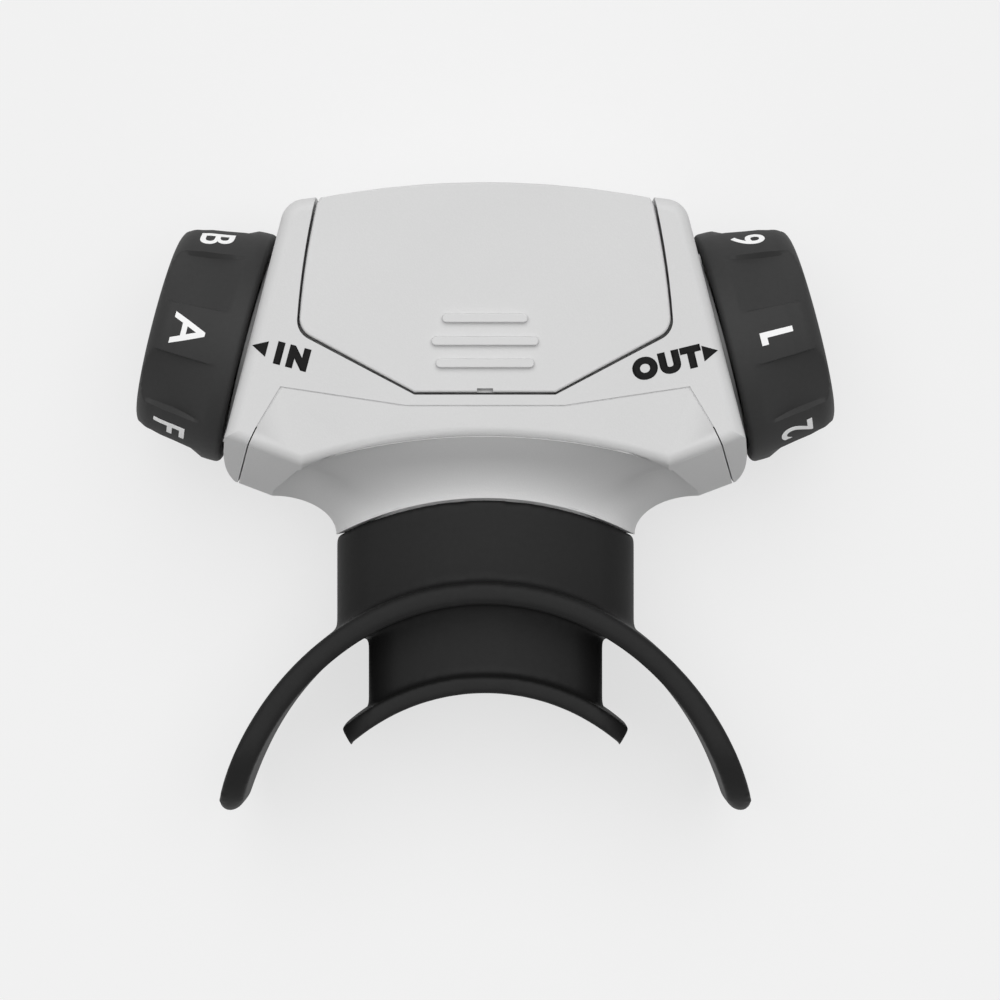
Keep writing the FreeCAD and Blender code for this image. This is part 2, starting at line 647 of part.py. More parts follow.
def housings():
    """Split the outer form at the seam and open the bay, bores, duct and chamber."""
    form = outer_form()
    air = chamber()
    seam_tool = prism("seam_plug", seam_outline(0), top_height + 2, -1)
    seam_void = prism("seam_void", seam_outline(D.seam_gap), top_height + 2, -1)
    recess = prism("cover_recess", cover_outline(D.running_gap), D.cover_depth + 2,
                   top_height - D.cover_depth - D.running_gap)
    round_edges(recess, is_wide_corner, D.cover_corner)
    tray_room = prism("tray_room", tray_outline(D.running_gap), top_height, D.bay_floor)
    front_bottom = top_height - D.cover_drop - D.running_gap
    front_plan = prism("front_room_plan", cover_outline(D.running_gap), D.cover_drop, front_bottom)
    front_block = box("front_room_block", -D.cover_wide_x, D.cover_front_y - D.cover_skin - D.running_gap,
                      front_bottom, D.cover_wide_x * 2, D.cover_skin * 4, top_height)
    front_room = shared("front_room", front_plan, front_block)
    bores = []
    for side, word in ((-1, "left"), (1, "right")):
        bore = rod(f"port_bore_{word}", D.bore_radius + D.fit_gap, D.barrel_length + 8)
        turned_bore = on_side(bore, side)
        back = FreeCAD.Placement(FreeCAD.Vector(0, 0, -D.barrel_length.value - 0.5), FreeCAD.Rotation())
        turned_bore.Placement = turned_bore.Placement * back
        bores.append(turned_bore)
    port = rod("sensor_port_hole", D.nipple_radius * 2, D.wall * 4, 0, D.nipple_y, D.plenum_top - D.wall)
    shanks = []
    for sign, word in ((-1, "left"), (1, "right")):
        shanks.append(rod(f"case_screw_hole_{word}", D.screw_radius + D.fit_gap, top_height / 2,
                          D.case_screw_x * sign, D.case_screw_y, -1))
        shanks.append(rod(f"case_screw_sink_{word}", D.head_radius + D.running_gap, D.head_height + 0.6 + 1,
                          D.case_screw_x * sign, D.case_screw_y, -1))
    piece("front_housing", cut("front_housing_body", form, seam_void, air, recess, tray_room, front_room,
                               port, *bores, *shanks))

    duct_form = oval(D.duct_half_width, D.duct_half_height, D.duct_end_round)
    duct = prism("nozzle_duct", duct_form, D.plenum_rear + D.spigot_end + 3, D.plenum_rear + 1, "XZ_Plane")
    outside = oval(D.duct_half_width + D.spigot_wall, D.duct_half_height + D.spigot_wall,
                   D.duct_end_round + D.spigot_wall)
    spigot = prism("spigot", outside, D.spigot_end + D.nozzle_root / 2, D.nozzle_root / 2, "XZ_Plane")
    lugs = [box(f"screw_lug_{word}", D.case_screw_x * sign - D.lug_half_width, D.plenum_rear - 1.6,
                D.wall + D.running_gap, D.lug_half_width * 2,
                D.case_screw_y - D.plenum_rear + 1.6 + D.lug_half_width, D.lug_height)
            for sign, word in ((-1, "left"), (1, "right"))]
    rear = shared("rear_block", form, seam_tool)
    rear = cut("rear_open", rear, air)
    rear = joined("rear_with_spigot", rear, spigot, *lugs)
    pilots = [rod(f"lug_pilot_{word}", D.screw_radius, top_height / 2, D.case_screw_x * sign, D.case_screw_y, 0)
              for sign, word in ((-1, "left"), (1, "right"))]
    piece("rear_housing", cut("rear_housing_body", rear, duct, *bores, *pilots))

    screws = []
    for sign, word in ((-1, "left"), (1, "right")):
        head = rod(f"case_head_{word}", D.head_radius, D.head_height, D.case_screw_x * sign, D.case_screw_y, 0.6)
        shank = rod(f"case_shank_{word}", D.screw_radius, D.case_screw_length, D.case_screw_x * sign,
                    D.case_screw_y, 0.6 + D.head_height)
        screws.append(joined(f"case_screw_{word}", head, shank))
    group = doc.addObject("Part::Compound", "housing_screws_group")
    group.Links = screws
    piece("housing_screws", group)


# Top cover and the sensor module that it carries

def module():
    under = top_height - D.cover_depth
    plate = prism("cover_plate", cover_outline(0), D.cover_depth, under)
    round_edges(plate, is_wide_corner, D.cover_corner)
    hollow = prism("cover_hollow", cover_outline(-D.cover_skin), D.cover_depth - D.cover_skin, under)
    apron = prism("cover_apron", cover_outline(0), D.cover_drop - D.cover_depth, top_height - D.cover_drop)
    behind = box("behind_apron", -D.cover_wide_x * 2, 0, 0, D.cover_wide_x * 4, D.cover_front_y - D.cover_skin,
                 top_height)
    front_wall = cut("cover_front_wall", apron, behind)
    ribs = []
    for index, (y, half) in enumerate(((22.68, 5.4), (19.8, 6.75), (17.0, 6.2)), start=1):
        rib = prism(f"thumb_rib_{index}", rectangle(half, D.rib_width / 2, D.rib_width * 0.48),
                    D.rib_height + D.cover_skin / 2, top_height - D.cover_skin / 2)
        move(rib, 0, y, top_height - D.cover_skin / 2)
        ribs.append(rib)
    screw_spots = [(sign * D.screw_x, y) for sign in (-1, 1)
                   for y in (D.tray_corner_y + D.screw_margin, D.tray_front - D.screw_margin)]
    tray_bottom = D.bay_floor + D.running_gap
    boss_foot = tray_bottom + D.tray_wall + 1.8
    posts = [rod(f"cover_post_{i}", D.screw_radius * 2.4, top_height - D.cover_skin / 2 - boss_foot, x, y, boss_foot)
             for i, (x, y) in enumerate(screw_spots, start=1)]
    notch = box("nail_notch", -D.notch_width / 2, D.cover_rear_y - 1, top_height - 1.2, D.notch_width, 1.5, 3)
    pilots = [rod(f"post_pilot_{i}", D.screw_radius, 6, x, y, boss_foot - 1)
              for i, (x, y) in enumerate(screw_spots, start=1)]
    solid = joined("cover_solid", cut("cover_shell", plate, hollow), front_wall, *ribs, *posts)
    piece("module_cover", cut("module_cover_body", solid, notch, *pilots))

    outer = prism("tray_outer", tray_outline(0), D.tray_height, tray_bottom)
    inner = prism("tray_inner", tray_outline(-D.tray_wall), D.tray_height, tray_bottom + D.tray_wall)
    bosses = [rod(f"tray_boss_{i}", D.screw_radius * 2.4, D.tray_wall + 1.8, x, y, tray_bottom)
              for i, (x, y) in enumerate(screw_spots, start=1)]
    nipple = rod("tray_nipple", D.nipple_radius, D.wall + D.tray_wall, 0, D.nipple_y, tray_bottom - D.wall)
    sinks = [rod(f"tray_sink_{i}", D.head_radius + D.fit_gap, D.head_height + 0.2, x, y, tray_bottom)
             for i, (x, y) in enumerate(screw_spots, start=1)]
    holes = [rod(f"tray_hole_{i}", D.screw_radius + D.fit_gap, 6, x, y, tray_bottom)
             for i, (x, y) in enumerate(screw_spots, start=1)]
    bore = rod("nipple_bore", D.nipple_radius / 2, D.wall * 4, 0, D.nipple_y, tray_bottom - D.wall)
    piece("module_tray", cut("module_tray_body", joined("tray_solid", cut("tray_shell", outer, inner), nipple,
                                                        *bosses), bore, *sinks, *holes))
    tray_top = tray_bottom + D.tray_height
    ring = prism("seal_outer", tray_outline(0), top_height - D.cover_skin - tray_top, tray_top)
    core = prism("seal_inner", tray_outline(-D.tray_wall), D.tray_height, tray_top)
    piece("module_seal", cut("module_seal_body", ring, core))
    screws = []
    for i, (x, y) in enumerate(screw_spots, start=1):
        head = rod(f"module_head_{i}", D.head_radius, D.head_height, x, y, tray_bottom + 0.2)
        shank = rod(f"module_shank_{i}", D.screw_radius, 5, x, y, tray_bottom + 0.2 + D.head_height)
        screws.append(joined(f"module_screw_{i}", head, shank))
    group = doc.addObject("Part::Compound", "module_screws_group")
    group.Links = screws
    piece("module_screws", group)

    board_z = tray_bottom + D.tray_wall + D.board_lift
    piece("circuit_board", circuit_board(tray_bottom + D.tray_wall, board_z))
    sensor_z = board_z - D.board_lift
    piece("pressure_sensor", rod("pressure_sensor_body", D.nipple_radius * 2, D.board_lift, 0, D.nipple_y, sensor_z))
    piece("battery_cell", rod("battery_cell_body", D.cell_radius, D.cell_thickness, 0,
                              D.board_rear + D.cell_radius, board_z + D.board_thickness))
    port_seal = rod("port_seal_outer", D.nipple_radius * 2, D.bay_floor - D.plenum_top, 0, D.nipple_y, D.plenum_top)
    seal_bore = rod("port_seal_bore", D.nipple_radius + D.fit_gap, D.wall * 3, 0, D.nipple_y, D.plenum_top - D.wall)
    piece("sensor_port_seal", cut("sensor_port_seal_body", port_seal, seal_bore))


def circuit_board(floor, level):
    """The board on four standing feet."""
    rear = D.board_rear
    length = D.board_front - D.board_rear
    plate = box("board_plate", -D.board_half_width, rear, level, D.board_half_width * 2, length, D.board_thickness)
    feet = [rod(f"board_foot_{i}", D.screw_radius, D.board_lift, x, y, floor)
            for i, (x, y) in enumerate([(sign * (D.board_half_width - 1.5), end) for sign in (-1, 1)
                                        for end in (rear + 1.5, rear + length - 1.5)], start=1)]
    return joined("circuit_board_body", plate, *feet)


# Pieces of one dial, made about their own Z axis: 0 is the side plane and +Z points outward

def port_plate(word):
    barrel = D.bore_radius
    bore = D.bore_radius - D.barrel_wall
    body = turned(f"{word}_port_plate_body", [
        (0, -1), (bore, -1), (bore, -D.barrel_length), (barrel, -D.barrel_length), (barrel, 0),
        (D.plate_radius, 0), (D.plate_radius, D.plate_thickness),
        (D.spindle_radius, D.plate_thickness), (D.spindle_radius, D.hub_end + D.running_gap),
        (0, D.hub_end + D.running_gap),
    ])
    window = rod(f"{word}_window", D.window_radius, 4, D.window_offset, 0, -2)
    pilot = rod(f"{word}_spindle_pilot", D.screw_radius, 6, 0, 0, D.hub_end - 5)
    return cut(f"{word}_port_plate_cut", body, window, pilot)


def orifice_seal(word):
    ring = rod(f"{word}_seal_ring", D.window_radius + D.seal_width, D.seal_proud, D.window_offset, 0,
               D.plate_thickness)
    hole = rod(f"{word}_seal_hole", D.window_radius, 4, D.window_offset, 0, -1)
    return cut(f"{word}_orifice_seal_cut", ring, hole)


def detent_spring(word):
    """A leaf on the port plate with a round nose that points into the notch ring."""
    level = D.plate_thickness
    leaf = box(f"{word}_leaf", -4, -(D.notch_ring + 1.2), level, 8, 2.4, 0.25)
    nose = doc.addObject("Part::Sphere", f"{word}_nose")
    bind(nose, "Radius", D.notch_depth + 0.1)
    move(nose, 0, -D.notch_ring, level - 0.1)
    trim = box(f"{word}_nose_trim", -5, -20, level - 3, 10, 20, 3)
    return cut(f"{word}_detent_spring_cut", joined(f"{word}_leaf_and_nose", leaf, nose), trim)


def dial_core(word):
    """Disc with graded breathing holes, hub and rim."""
    start = D.disc_start
    face = D.disc_start + D.disc_thickness
    bore = D.spindle_radius + D.spindle_gap
    rim = D.disc_radius - D.core_rim
    body = turned(f"{word}_dial_core_body", [
        (bore, start), (D.disc_radius, start), (D.disc_radius, D.core_end), (rim, D.core_end), (rim, face),
        (D.hub_radius, face), (D.hub_radius, D.hub_end), (bore, D.hub_end),
    ])
    tools = []
    for place in range(int(D.dial_places.value)):
        angle = place * dial_step
        x = D.window_offset * cosine(angle)
        y = D.window_offset * sine(angle)
        tools.append(rod(f"{word}_breathing_hole_{place + 1}", D.window_radius - D.hole_step * place, 6, x, y, 0))
        notch = doc.addObject("Part::Sphere", f"{word}_notch_{place + 1}")
        bind(notch, "Radius", D.notch_depth)
        between = angle + dial_step / 2
        tools.append(move(notch, D.notch_ring * cosine(between), D.notch_ring * sine(between), start))
    return cut(f"{word}_dial_core_cut", body, *tools)


def dial_grip(word):
    """Soft ring with six pads between hollows that fade out at the collar."""
    inner = D.plate_radius + 0.4
    rim = D.disc_radius - D.core_rim
    soft = 0.6
    shoulder = D.collar_start + 2.6
    body = turned(f"{word}_dial_grip_body", [
        (inner, D.collar_start), (D.collar_radius - soft, D.collar_start, soft, 1),
        (D.collar_radius, D.collar_start + soft), (D.collar_radius, shoulder - soft),
        (D.grip_radius + 0.35, shoulder + 1.4), (D.grip_radius, shoulder + 4.2),
        (D.grip_end_radius, D.grip_end - D.grip_round, D.grip_round, 1),
        (D.grip_end_radius - D.grip_round, D.grip_end), (rim, D.grip_end), (rim, D.core_end),
        (D.disc_radius, D.core_end), (D.disc_radius, D.disc_start), (inner, D.disc_start),
    ])
    tools = []
    depth = D.grip_end_radius - D.scallop_depth
    for place in range(int(D.dial_places.value)):
        hollow = doc.addObject("Part::Cylinder", f"{word}_hollow_{place + 1}")
        bind(hollow, "Radius", D.scallop_radius)
        bind(hollow, "Height", D.grip_end * 2)
        angle = (place + 0.5) * dial_step
        spin = FreeCAD.Rotation(FreeCAD.Vector(0, 0, 1), angle)
        lean = FreeCAD.Rotation(FreeCAD.Vector(0, 1, 0), -D.scallop_tilt.value)
        foot = FreeCAD.Vector(depth.value + D.scallop_radius.value, 0, D.grip_end.value)
        low = FreeCAD.Placement(FreeCAD.Vector(0, 0, -D.grip_end.value * 1.5), FreeCAD.Rotation())
        hollow.Placement = FreeCAD.Placement(FreeCAD.Vector(), spin) * FreeCAD.Placement(foot, lean) * low
        tools.append(hollow)
    return cut(f"{word}_dial_grip_cut", body, *tools)


def dial_washer(word):
    level = D.hub_end + D.running_gap
    disc = rod(f"{word}_washer_disc", D.hub_radius - 0.6, D.washer_thickness, 0, 0, level)
    hole = rod(f"{word}_washer_hole", D.screw_radius + D.fit_gap, 3, 0, 0, level - 1)
    return cut(f"{word}_dial_washer_cut", disc, hole)


def dial_screw(word):
    level = D.hub_end + D.running_gap + D.washer_thickness
    head = rod(f"{word}_screw_head", D.head_radius, D.head_height, 0, 0, level)
    shank = rod(f"{word}_screw_shank", D.screw_radius, 5, 0, 0, level - 5)
    return joined(f"{word}_dial_screw_join", head, shank)


def hub_cap(word):
    outer = D.hub_radius + D.cap_wall
    return turned(f"{word}_hub_cap_body", [
        (0, D.cap_end - D.cap_wall), (D.hub_radius, D.cap_end - D.cap_wall), (D.hub_radius, D.hub_end - 2),
        (outer, D.hub_end - 2), (outer, D.cap_end - D.cap_wall, D.cap_wall, 1), (D.hub_radius, D.cap_end),
        (0, D.cap_end),
    ])


def valve_seat(word):
    """Ring of windows at the inner end of the barrel, with a central hole for the membrane stem."""
    level = -D.barrel_length + 0.4
    disc = rod(f"{word}_seat_disc", D.bore_radius - D.barrel_wall, D.seat_thickness, 0, 0, level)
    tools = [rod(f"{word}_seat_bore", D.seat_bore, 4, 0, 0, level - 1)]
    for place in range(int(D.dial_places.value)):
        angle = place * dial_step
        tools.append(rod(f"{word}_seat_window_{place + 1}", D.seat_hole, 4, D.seat_ring * cosine(angle),
                         D.seat_ring * sine(angle), level - 1))
    return cut(f"{word}_valve_seat_cut", disc, *tools)


def valve_membrane(word, inward):
    """Soft disc with a stem: on the chamber side where it opens inward, else on the dial side."""
    low = -D.barrel_length + 0.4
    high = low + D.seat_thickness
    if inward:
        face, back, far = low, low - D.membrane_thickness, high
        tip = high + 1.2
    else:
        face, back, far = high, high + D.membrane_thickness, low
        tip = low - 1.2
    corners = [(0, back), (D.membrane_radius, back), (D.membrane_radius, face), (D.seat_bore, face),
               (D.seat_bore, far), (D.seat_bore + 0.5, far), (D.seat_bore * 0.5, tip), (0, tip)]
    if not inward:
        corners.reverse()
    return turned(f"{word}_valve_membrane_body", corners)


def dial_side(word, side):
    makers = {
        "port_plate": port_plate(word),
        "orifice_seal": orifice_seal(word),
        "detent_spring": detent_spring(word),
        "dial_core": dial_core(word),
        "dial_grip": dial_grip(word),
        "dial_washer": dial_washer(word),
        "dial_screw": dial_screw(word),
        "hub_cap": hub_cap(word),
        "valve_seat": valve_seat(word),
        "valve_membrane": valve_membrane(word, word == "in"),
    }
    for name, obj in makers.items():
        on_side(obj, side)
        piece(f"{word}_{name}", obj)


# Silicone mouthpiece

def ellipse_band(name, half_height):
    """The lip flange as an upright curved band between two half ellipses."""
    outer = elliptic_wall(f"{name}_outer", D.flange_width, D.flange_depth, half_height)
    inner = elliptic_wall(f"{name}_inner", D.flange_width - D.flange_side, D.flange_depth - D.flange_middle,
                          half_height + 1)
    return cut(name, outer, inner)


def elliptic_wall(name, half_width, half_depth, half_height):
    ellipse = doc.addObject("Part::Ellipse", f"{name}_curve")
    bind(ellipse, "MajorRadius", half_depth)
    bind(ellipse, "MinorRadius", half_width)
    ellipse.Placement.Rotation = FreeCAD.Rotation(FreeCAD.Vector(0, 0, 1), 90)
    move(ellipse, 0, -D.flange_centre, D.axis_height - half_height)
    wall = doc.addObject("Part::Extrusion", name)
    wall.Base = ellipse
    wall.DirMode = "Custom"
    wall.Dir = (0, 0, 1)
    wall.Solid = True
    bind(wall, "LengthFwd", half_height * 2)
    return wall


def flange_side_view():
    """Side outline of the lip flange, with round tips."""
    straight = D.flange_end - D.flange_corner
    low = D.flange_half_height - D.flange_corner
    corners = [
        (-straight, -D.flange_half_height), (0, -D.flange_half_height), (0, D.flange_half_height),
        (-straight, D.flange_half_height, D.flange_corner, 1), (-D.flange_end, low),
        (-D.flange_end, -low, D.flange_corner, 1),
    ]
    return prism("flange_side_outline", corners, D.flange_width * 2 + 2, -D.flange_width - 1, "YZ_Plane")


def mouthpiece():
    band = ellipse_band("flange_band", D.flange_half_height)
    flange = shared("lip_flange", band, flange_side_view())
    tube = prism("mouth_tube", oval(D.tube_half_width, D.tube_half_height, D.nozzle_end_round), D.tube_length, 0,
                 "XZ_Plane")
    gap_arch = rod("tube_start", D.rim_radius - D.running_gap, top_height, 0, D.rim_y - D.rim_radius, 0)
    tube = shared("tube_behind_rim", tube, gap_arch)
    inner_wall = elliptic_wall("flange_inside", D.flange_width - D.flange_side, D.flange_depth - D.flange_middle,
                               D.flange_half_height)
    tube = cut("tube_to_flange", tube, inner_wall)
    neck = prism("mouth_neck", oval(D.neck_half_width, D.neck_half_height, D.neck_end_round),
                 D.lip_centre - D.lip_radius + D.lip_thickness + 6, -10, "XZ_Plane")
    lip_outer = rod("lip_outer", D.lip_radius, D.lip_half_height * 2, 0, -D.lip_centre,
                    D.axis_height - D.lip_half_height)
    lip_inner = rod("lip_inner", D.lip_radius - D.lip_thickness, top_height, 0, -D.lip_centre, 0)
    lip_view = prism("lip_front_view", rectangle(D.lip_half_width, D.lip_half_height, D.lip_corner),
                     D.flange_end, 0, "XZ_Plane")
    lip = shared("bite_lip", cut("lip_band", lip_outer, lip_inner), lip_view)
    neck = cut("neck_to_lip", neck, rod("lip_end", D.lip_radius - D.lip_thickness, top_height, 0,
                                        -D.lip_centre, 0))
    solid = joined("mouthpiece_solid", tube, flange, neck, lip)
    socket = oval(D.duct_half_width + D.spigot_wall + D.fit_gap, D.duct_half_height + D.spigot_wall + D.fit_gap,
                  D.duct_end_round + D.spigot_wall + D.fit_gap)
    pocket = prism("spigot_socket", socket, D.spigot_end + D.running_gap, 0, "XZ_Plane")
    channel = prism("mouth_channel", oval(D.mouth_half_width, D.mouth_half_height, D.mouth_end_round), 40, 0,
                    "XZ_Plane")
    piece("mouthpiece", cut("mouthpiece_body", solid, pocket, channel))


housings()
module()
dial_side("in", -1)
dial_side("out", 1)
mouthpiece()
doc.recompute()

for obj in doc.Objects:
    if "Invalid" in obj.State or "Error" in obj.State:
        raise RuntimeError(f"{obj.Name} failed: {obj.State}")
for name, obj in pieces.items():
    if obj.Shape.isNull() or not obj.Shape.isValid() or not obj.Shape.Solids:
        raise RuntimeError(f"{name} has no valid solid")
for name, obj in pieces.items():
    obj.Shape.exportStep(f"parts/{name}.step")
    print(f"{name}: {len(obj.Shape.Solids)} solid(s), {obj.Shape.Volume:.1f} mm3")
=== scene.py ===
import logging
import math
from dataclasses import dataclass, field
from enum import Enum
from typing import Callable, Sequence

import bpy
from mathutils import Matrix, Vector


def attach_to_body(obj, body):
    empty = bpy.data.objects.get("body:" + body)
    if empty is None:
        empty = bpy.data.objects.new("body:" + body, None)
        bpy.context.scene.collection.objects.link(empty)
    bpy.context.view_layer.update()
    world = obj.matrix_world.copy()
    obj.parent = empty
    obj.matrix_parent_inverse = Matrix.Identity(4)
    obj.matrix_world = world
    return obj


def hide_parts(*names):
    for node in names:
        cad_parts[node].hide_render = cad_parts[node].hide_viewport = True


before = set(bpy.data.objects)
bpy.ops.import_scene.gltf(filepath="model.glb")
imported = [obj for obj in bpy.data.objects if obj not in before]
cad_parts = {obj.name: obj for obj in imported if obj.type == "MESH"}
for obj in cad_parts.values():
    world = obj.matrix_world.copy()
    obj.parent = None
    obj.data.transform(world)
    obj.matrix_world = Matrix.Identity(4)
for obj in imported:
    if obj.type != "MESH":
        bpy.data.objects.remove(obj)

logging.basicConfig(level=logging.INFO, format="%(message)s")
log = logging.getLogger("breathing_trainer")

MM = 0.001
SAME_POINT = 0.001 * MM


class Body(Enum):
    """The moving bodies of the trainer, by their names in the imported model."""

    HOUSING = "housing"
    IN_DIAL = "in_dial"
    OUT_DIAL = "out_dial"
    MODULE = "module"
    MOUTHPIECE = "mouthpiece"


class Side(Enum):
    """Which of the two dials a piece belongs to; the value is the sign of its X."""

    IN = -1
    OUT = 1


def grey(level: float) -> tuple[float, float, float, float]:
    """Gives a neutral colour from a screen level of 0 to 255."""
    return tinted(level, level, level)


def tinted(red: float, green: float, blue: float) -> tuple[float, float, float, float]:
    """Turns screen levels of 0 to 255 into the scene's linear colour.

    Args:
        red: The red level.
        green: The green level.
        blue: The blue level.

    Returns:
        The linear colour with full opacity.
    """

    def linear(level: float) -> float:
        """Undoes the screen's curve for one channel."""
        share = level / 255
        if share <= 0.04045:
            return share / 12.92
        return ((share + 0.055) / 1.055) ** 2.4

    return (linear(red), linear(green), linear(blue), 1.0)


def shaded(
    colour: Sequence[float], share: float, lift: float = 0.0
) -> tuple[float, float, float, float]:
    """Makes a linear colour darker or paler.

    Args:
        colour: The colour.
        share: How much of it stays.
        lift: What is added to every channel.

    Returns:
        The colour, with full opacity.
    """
    red, green, blue = (min(1.0, share * part + lift) for part in colour[:3])
    return (red, green, blue, 1.0)


@dataclass(frozen=True)
class Signal:
    """A node's output, on which sums are written as plain Python."""

    writer: "NodeWriter"
    socket: bpy.types.NodeSocket

    def _sum(self, operation: str, first: object, second: object) -> "Signal":
        """Adds one Math node.

        Args:
            operation: The Math node's operation.
            first: A number or a signal.
            second: A number or a signal.

        Returns:
            The Math node's output.
        """
        return self.writer.node(
            "ShaderNodeMath", {"operation": operation}, {0: first, 1: second}
        )

    def __add__(self, other: object) -> "Signal":
        """Adds a number or a signal."""
        return self._sum("ADD", self, other)

    def __radd__(self, other: object) -> "Signal":
        """Is added to a number."""
        return self._sum("ADD", other, self)

    def __sub__(self, other: object) -> "Signal":
        """Takes away a number or a signal."""
        return self._sum("SUBTRACT", self, other)

    def __rsub__(self, other: object) -> "Signal":
        """Is taken away from a number."""
        return self._sum("SUBTRACT", other, self)

    def __mul__(self, other: object) -> "Signal":
        """Multiplies by a number or a signal."""
        return self._sum("MULTIPLY", self, other)

    def __rmul__(self, other: object) -> "Signal":
        """Multiplies a number."""
        return self._sum("MULTIPLY", other, self)

    def __gt__(self, other: object) -> "Signal":
        """Is 1 where this signal is above the other, and 0 elsewhere."""
        return self._sum("GREATER_THAN", self, other)

    def __lt__(self, other: object) -> "Signal":
        """Is 1 where this signal is below the other, and 0 elsewhere."""
        return self._sum("LESS_THAN", self, other)


class NodeWriter:
    """Writes nodes into one node tree."""

    def __init__(self, owner: bpy.types.Material | bpy.types.World) -> None:
        """Empties the tree of a material or a world."""
        owner.use_nodes = True
        self.tree = owner.node_tree
        self.tree.nodes.clear()

    def node(
        self, kind: str, settings: dict, values: dict, output: int | str | None = 0
    ) -> Signal | None:
        """Adds any node.

        Args:
            kind: The node's type.
            settings: Its properties, set before its sockets.
            values: A value or a signal for each socket, by name or number.
            output: The output to give back, or None for a node that ends the tree.

        Returns:
            The chosen output, if any.
        """
        made = self.tree.nodes.new(kind)
        for key, value in settings.items():
            setattr(made, key, value)
        for key, value in values.items():
            self.feed(made.inputs[key], value)
        return None if output is None else Signal(self, made.outputs[output])

    def feed(self, target: bpy.types.NodeSocket, value: object) -> None:
        """Links a signal to a socket, or writes a plain value on it.

        Args:
            target: The socket.
            value: A signal, a number, a colour or a vector.
        """
        if isinstance(value, Signal):
            self.tree.links.new(value.socket, target)
        else:
            target.default_value = value

    def seen(self) -> Signal:
        """Is 1 where the ground is looked at, directly, mirrored or through glass."""
        kinds = ("Is Camera Ray", "Is Glossy Ray", "Is Transmission Ray")
        rays = [self.node("ShaderNodeLightPath", {}, {}, kind) for kind in kinds]
        return (rays[0] + rays[1] + rays[2]) > 0.5


class Recipe(NodeWriter):
    """Builds one material out of nodes."""

    def __init__(self, name: str) -> None:
        """Starts an empty material with a Principled shader.

        Args:
            name: The material's name.
        """
        self.material = bpy.data.materials.new(name)
        super().__init__(self.material)
        self.output = self.tree.nodes.new("ShaderNodeOutputMaterial")
        self.shader = self.tree.nodes.new("ShaderNodeBsdfPrincipled")
        self.tree.links.new(self.shader.outputs[0], self.output.inputs["Surface"])

    def place(self, stretch: Sequence[float] = (1, 1, 1)) -> Signal:
        """Gives the surface's own coordinates.

        Args:
            stretch: How much finer a pattern gets along X, Y and Z.

        Returns:
            The coordinates, to feed a texture's Vector.
        """
        raw = self.node("ShaderNodeTexCoord", {}, {}, "Object")
        return self.node("ShaderNodeMapping", {}, {"Vector": raw, "Scale": tuple(stretch)})

    def noise(self, size: float, detail: float = 2.0, where: Signal | None = None) -> Signal:
        """Adds a soft random pattern.

        Args:
            size: The width of its spots in metres.
            detail: How many finer layers it has.
            where: The coordinates, or None for the surface's own.

        Returns:
            Its strength from 0 to 1.
        """
        return self.node(
            "ShaderNodeTexNoise",
            {},
            {"Vector": where or self.place(), "Scale": 1 / size, "Detail": detail},
            "Fac",
        )

    def cells(self, size: float) -> Signal:
        """Adds a pattern of pits, deepest at their centres.

        Args:
            size: The spacing of the pits in metres.

        Returns:
            The distance from the nearest pit's centre.
        """
        values = {"Vector": self.place(), "Scale": 1 / size}
        return self.node("ShaderNodeTexVoronoi", {}, values, "Distance")

    def blend(self, share: object, low: object, high: object) -> Signal:
        """Mixes two colours.

        Args:
            share: 0 for the first colour, 1 for the second.
            low: The first colour or signal.
            high: The second colour or signal.

        Returns:
            The mixed colour.
        """
        values = {"Factor": share, 6: low, 7: high}
        return self.node("ShaderNodeMix", {"data_type": "RGBA"}, values, 2)

    def bump(self, height: Signal, depth: float) -> Signal:
        """Turns a height into a bent normal.

        Args:
            height: The relief, 0 to 1.
            depth: How deep the relief is, in metres.

        Returns:
            The normal.
        """
        values = {"Height": height, "Distance": depth, "Strength": 1.0}
        return self.node("ShaderNodeBump", {}, values)

    def set(self, **sockets: object) -> None:
        """Writes the shader's sockets, with _ for the blanks in their names."""
        for name, value in sockets.items():
            self.feed(self.shader.inputs[name.replace("_", " ")], value)


@dataclass(frozen=True)
class SatinShell:
    """Moulded plastic with a fine spark-eroded texture and a satin sheen."""

    name: str
    colour: tuple[float, float, float, float]
    grain: float = 0.22
    relief: float = 0.010
    roughness: float = 0.46

    def material(self) -> bpy.types.Material:
        """Builds the material."""
        recipe = Recipe(self.name)
        fine = recipe.cells(self.grain * MM)
        cloud = recipe.noise(self.grain * 2.3 * MM, 3)
        patches = recipe.noise(14 * MM, 1)
        tone = patches * 0.55 + fine * 0.45
        recipe.set(
            Base_Color=recipe.blend(tone, shaded(self.colour, 0.955), shaded(self.colour, 1.02)),
            Roughness=self.roughness + cloud * 0.10 - patches * 0.05,
            Normal=recipe.bump(fine * 0.6 + cloud * 0.4, self.relief * MM),
            IOR=1.5,
        )
        return recipe.material


@dataclass(frozen=True)
class SoftTouch:
    """Soft rubber or silicone: matt and faintly mottled, with little gloss."""

    name: str
    colour: tuple[float, float, float, float]
    roughness: float = 0.6
    gloss: float = 0.25
    relief: float = 0.008

    def material(self) -> bpy.types.Material:
        """Builds the material."""
        recipe = Recipe(self.name)
        skin = recipe.noise(0.18 * MM, 4)
        bloom = recipe.noise(6 * MM, 3)
        dust = recipe.noise(0.7 * MM, 2)
        paler = shaded(self.colour, 1.28, 0.002)
        recipe.set(
            Base_Color=recipe.blend(bloom * 0.6 + dust * 0.3, self.colour, paler),
            Roughness=self.roughness + bloom * 0.10 - dust * 0.06,
            Normal=recipe.bump(skin, self.relief * MM),
            Specular_IOR_Level=self.gloss,
            IOR=1.42,
        )
        return recipe.material


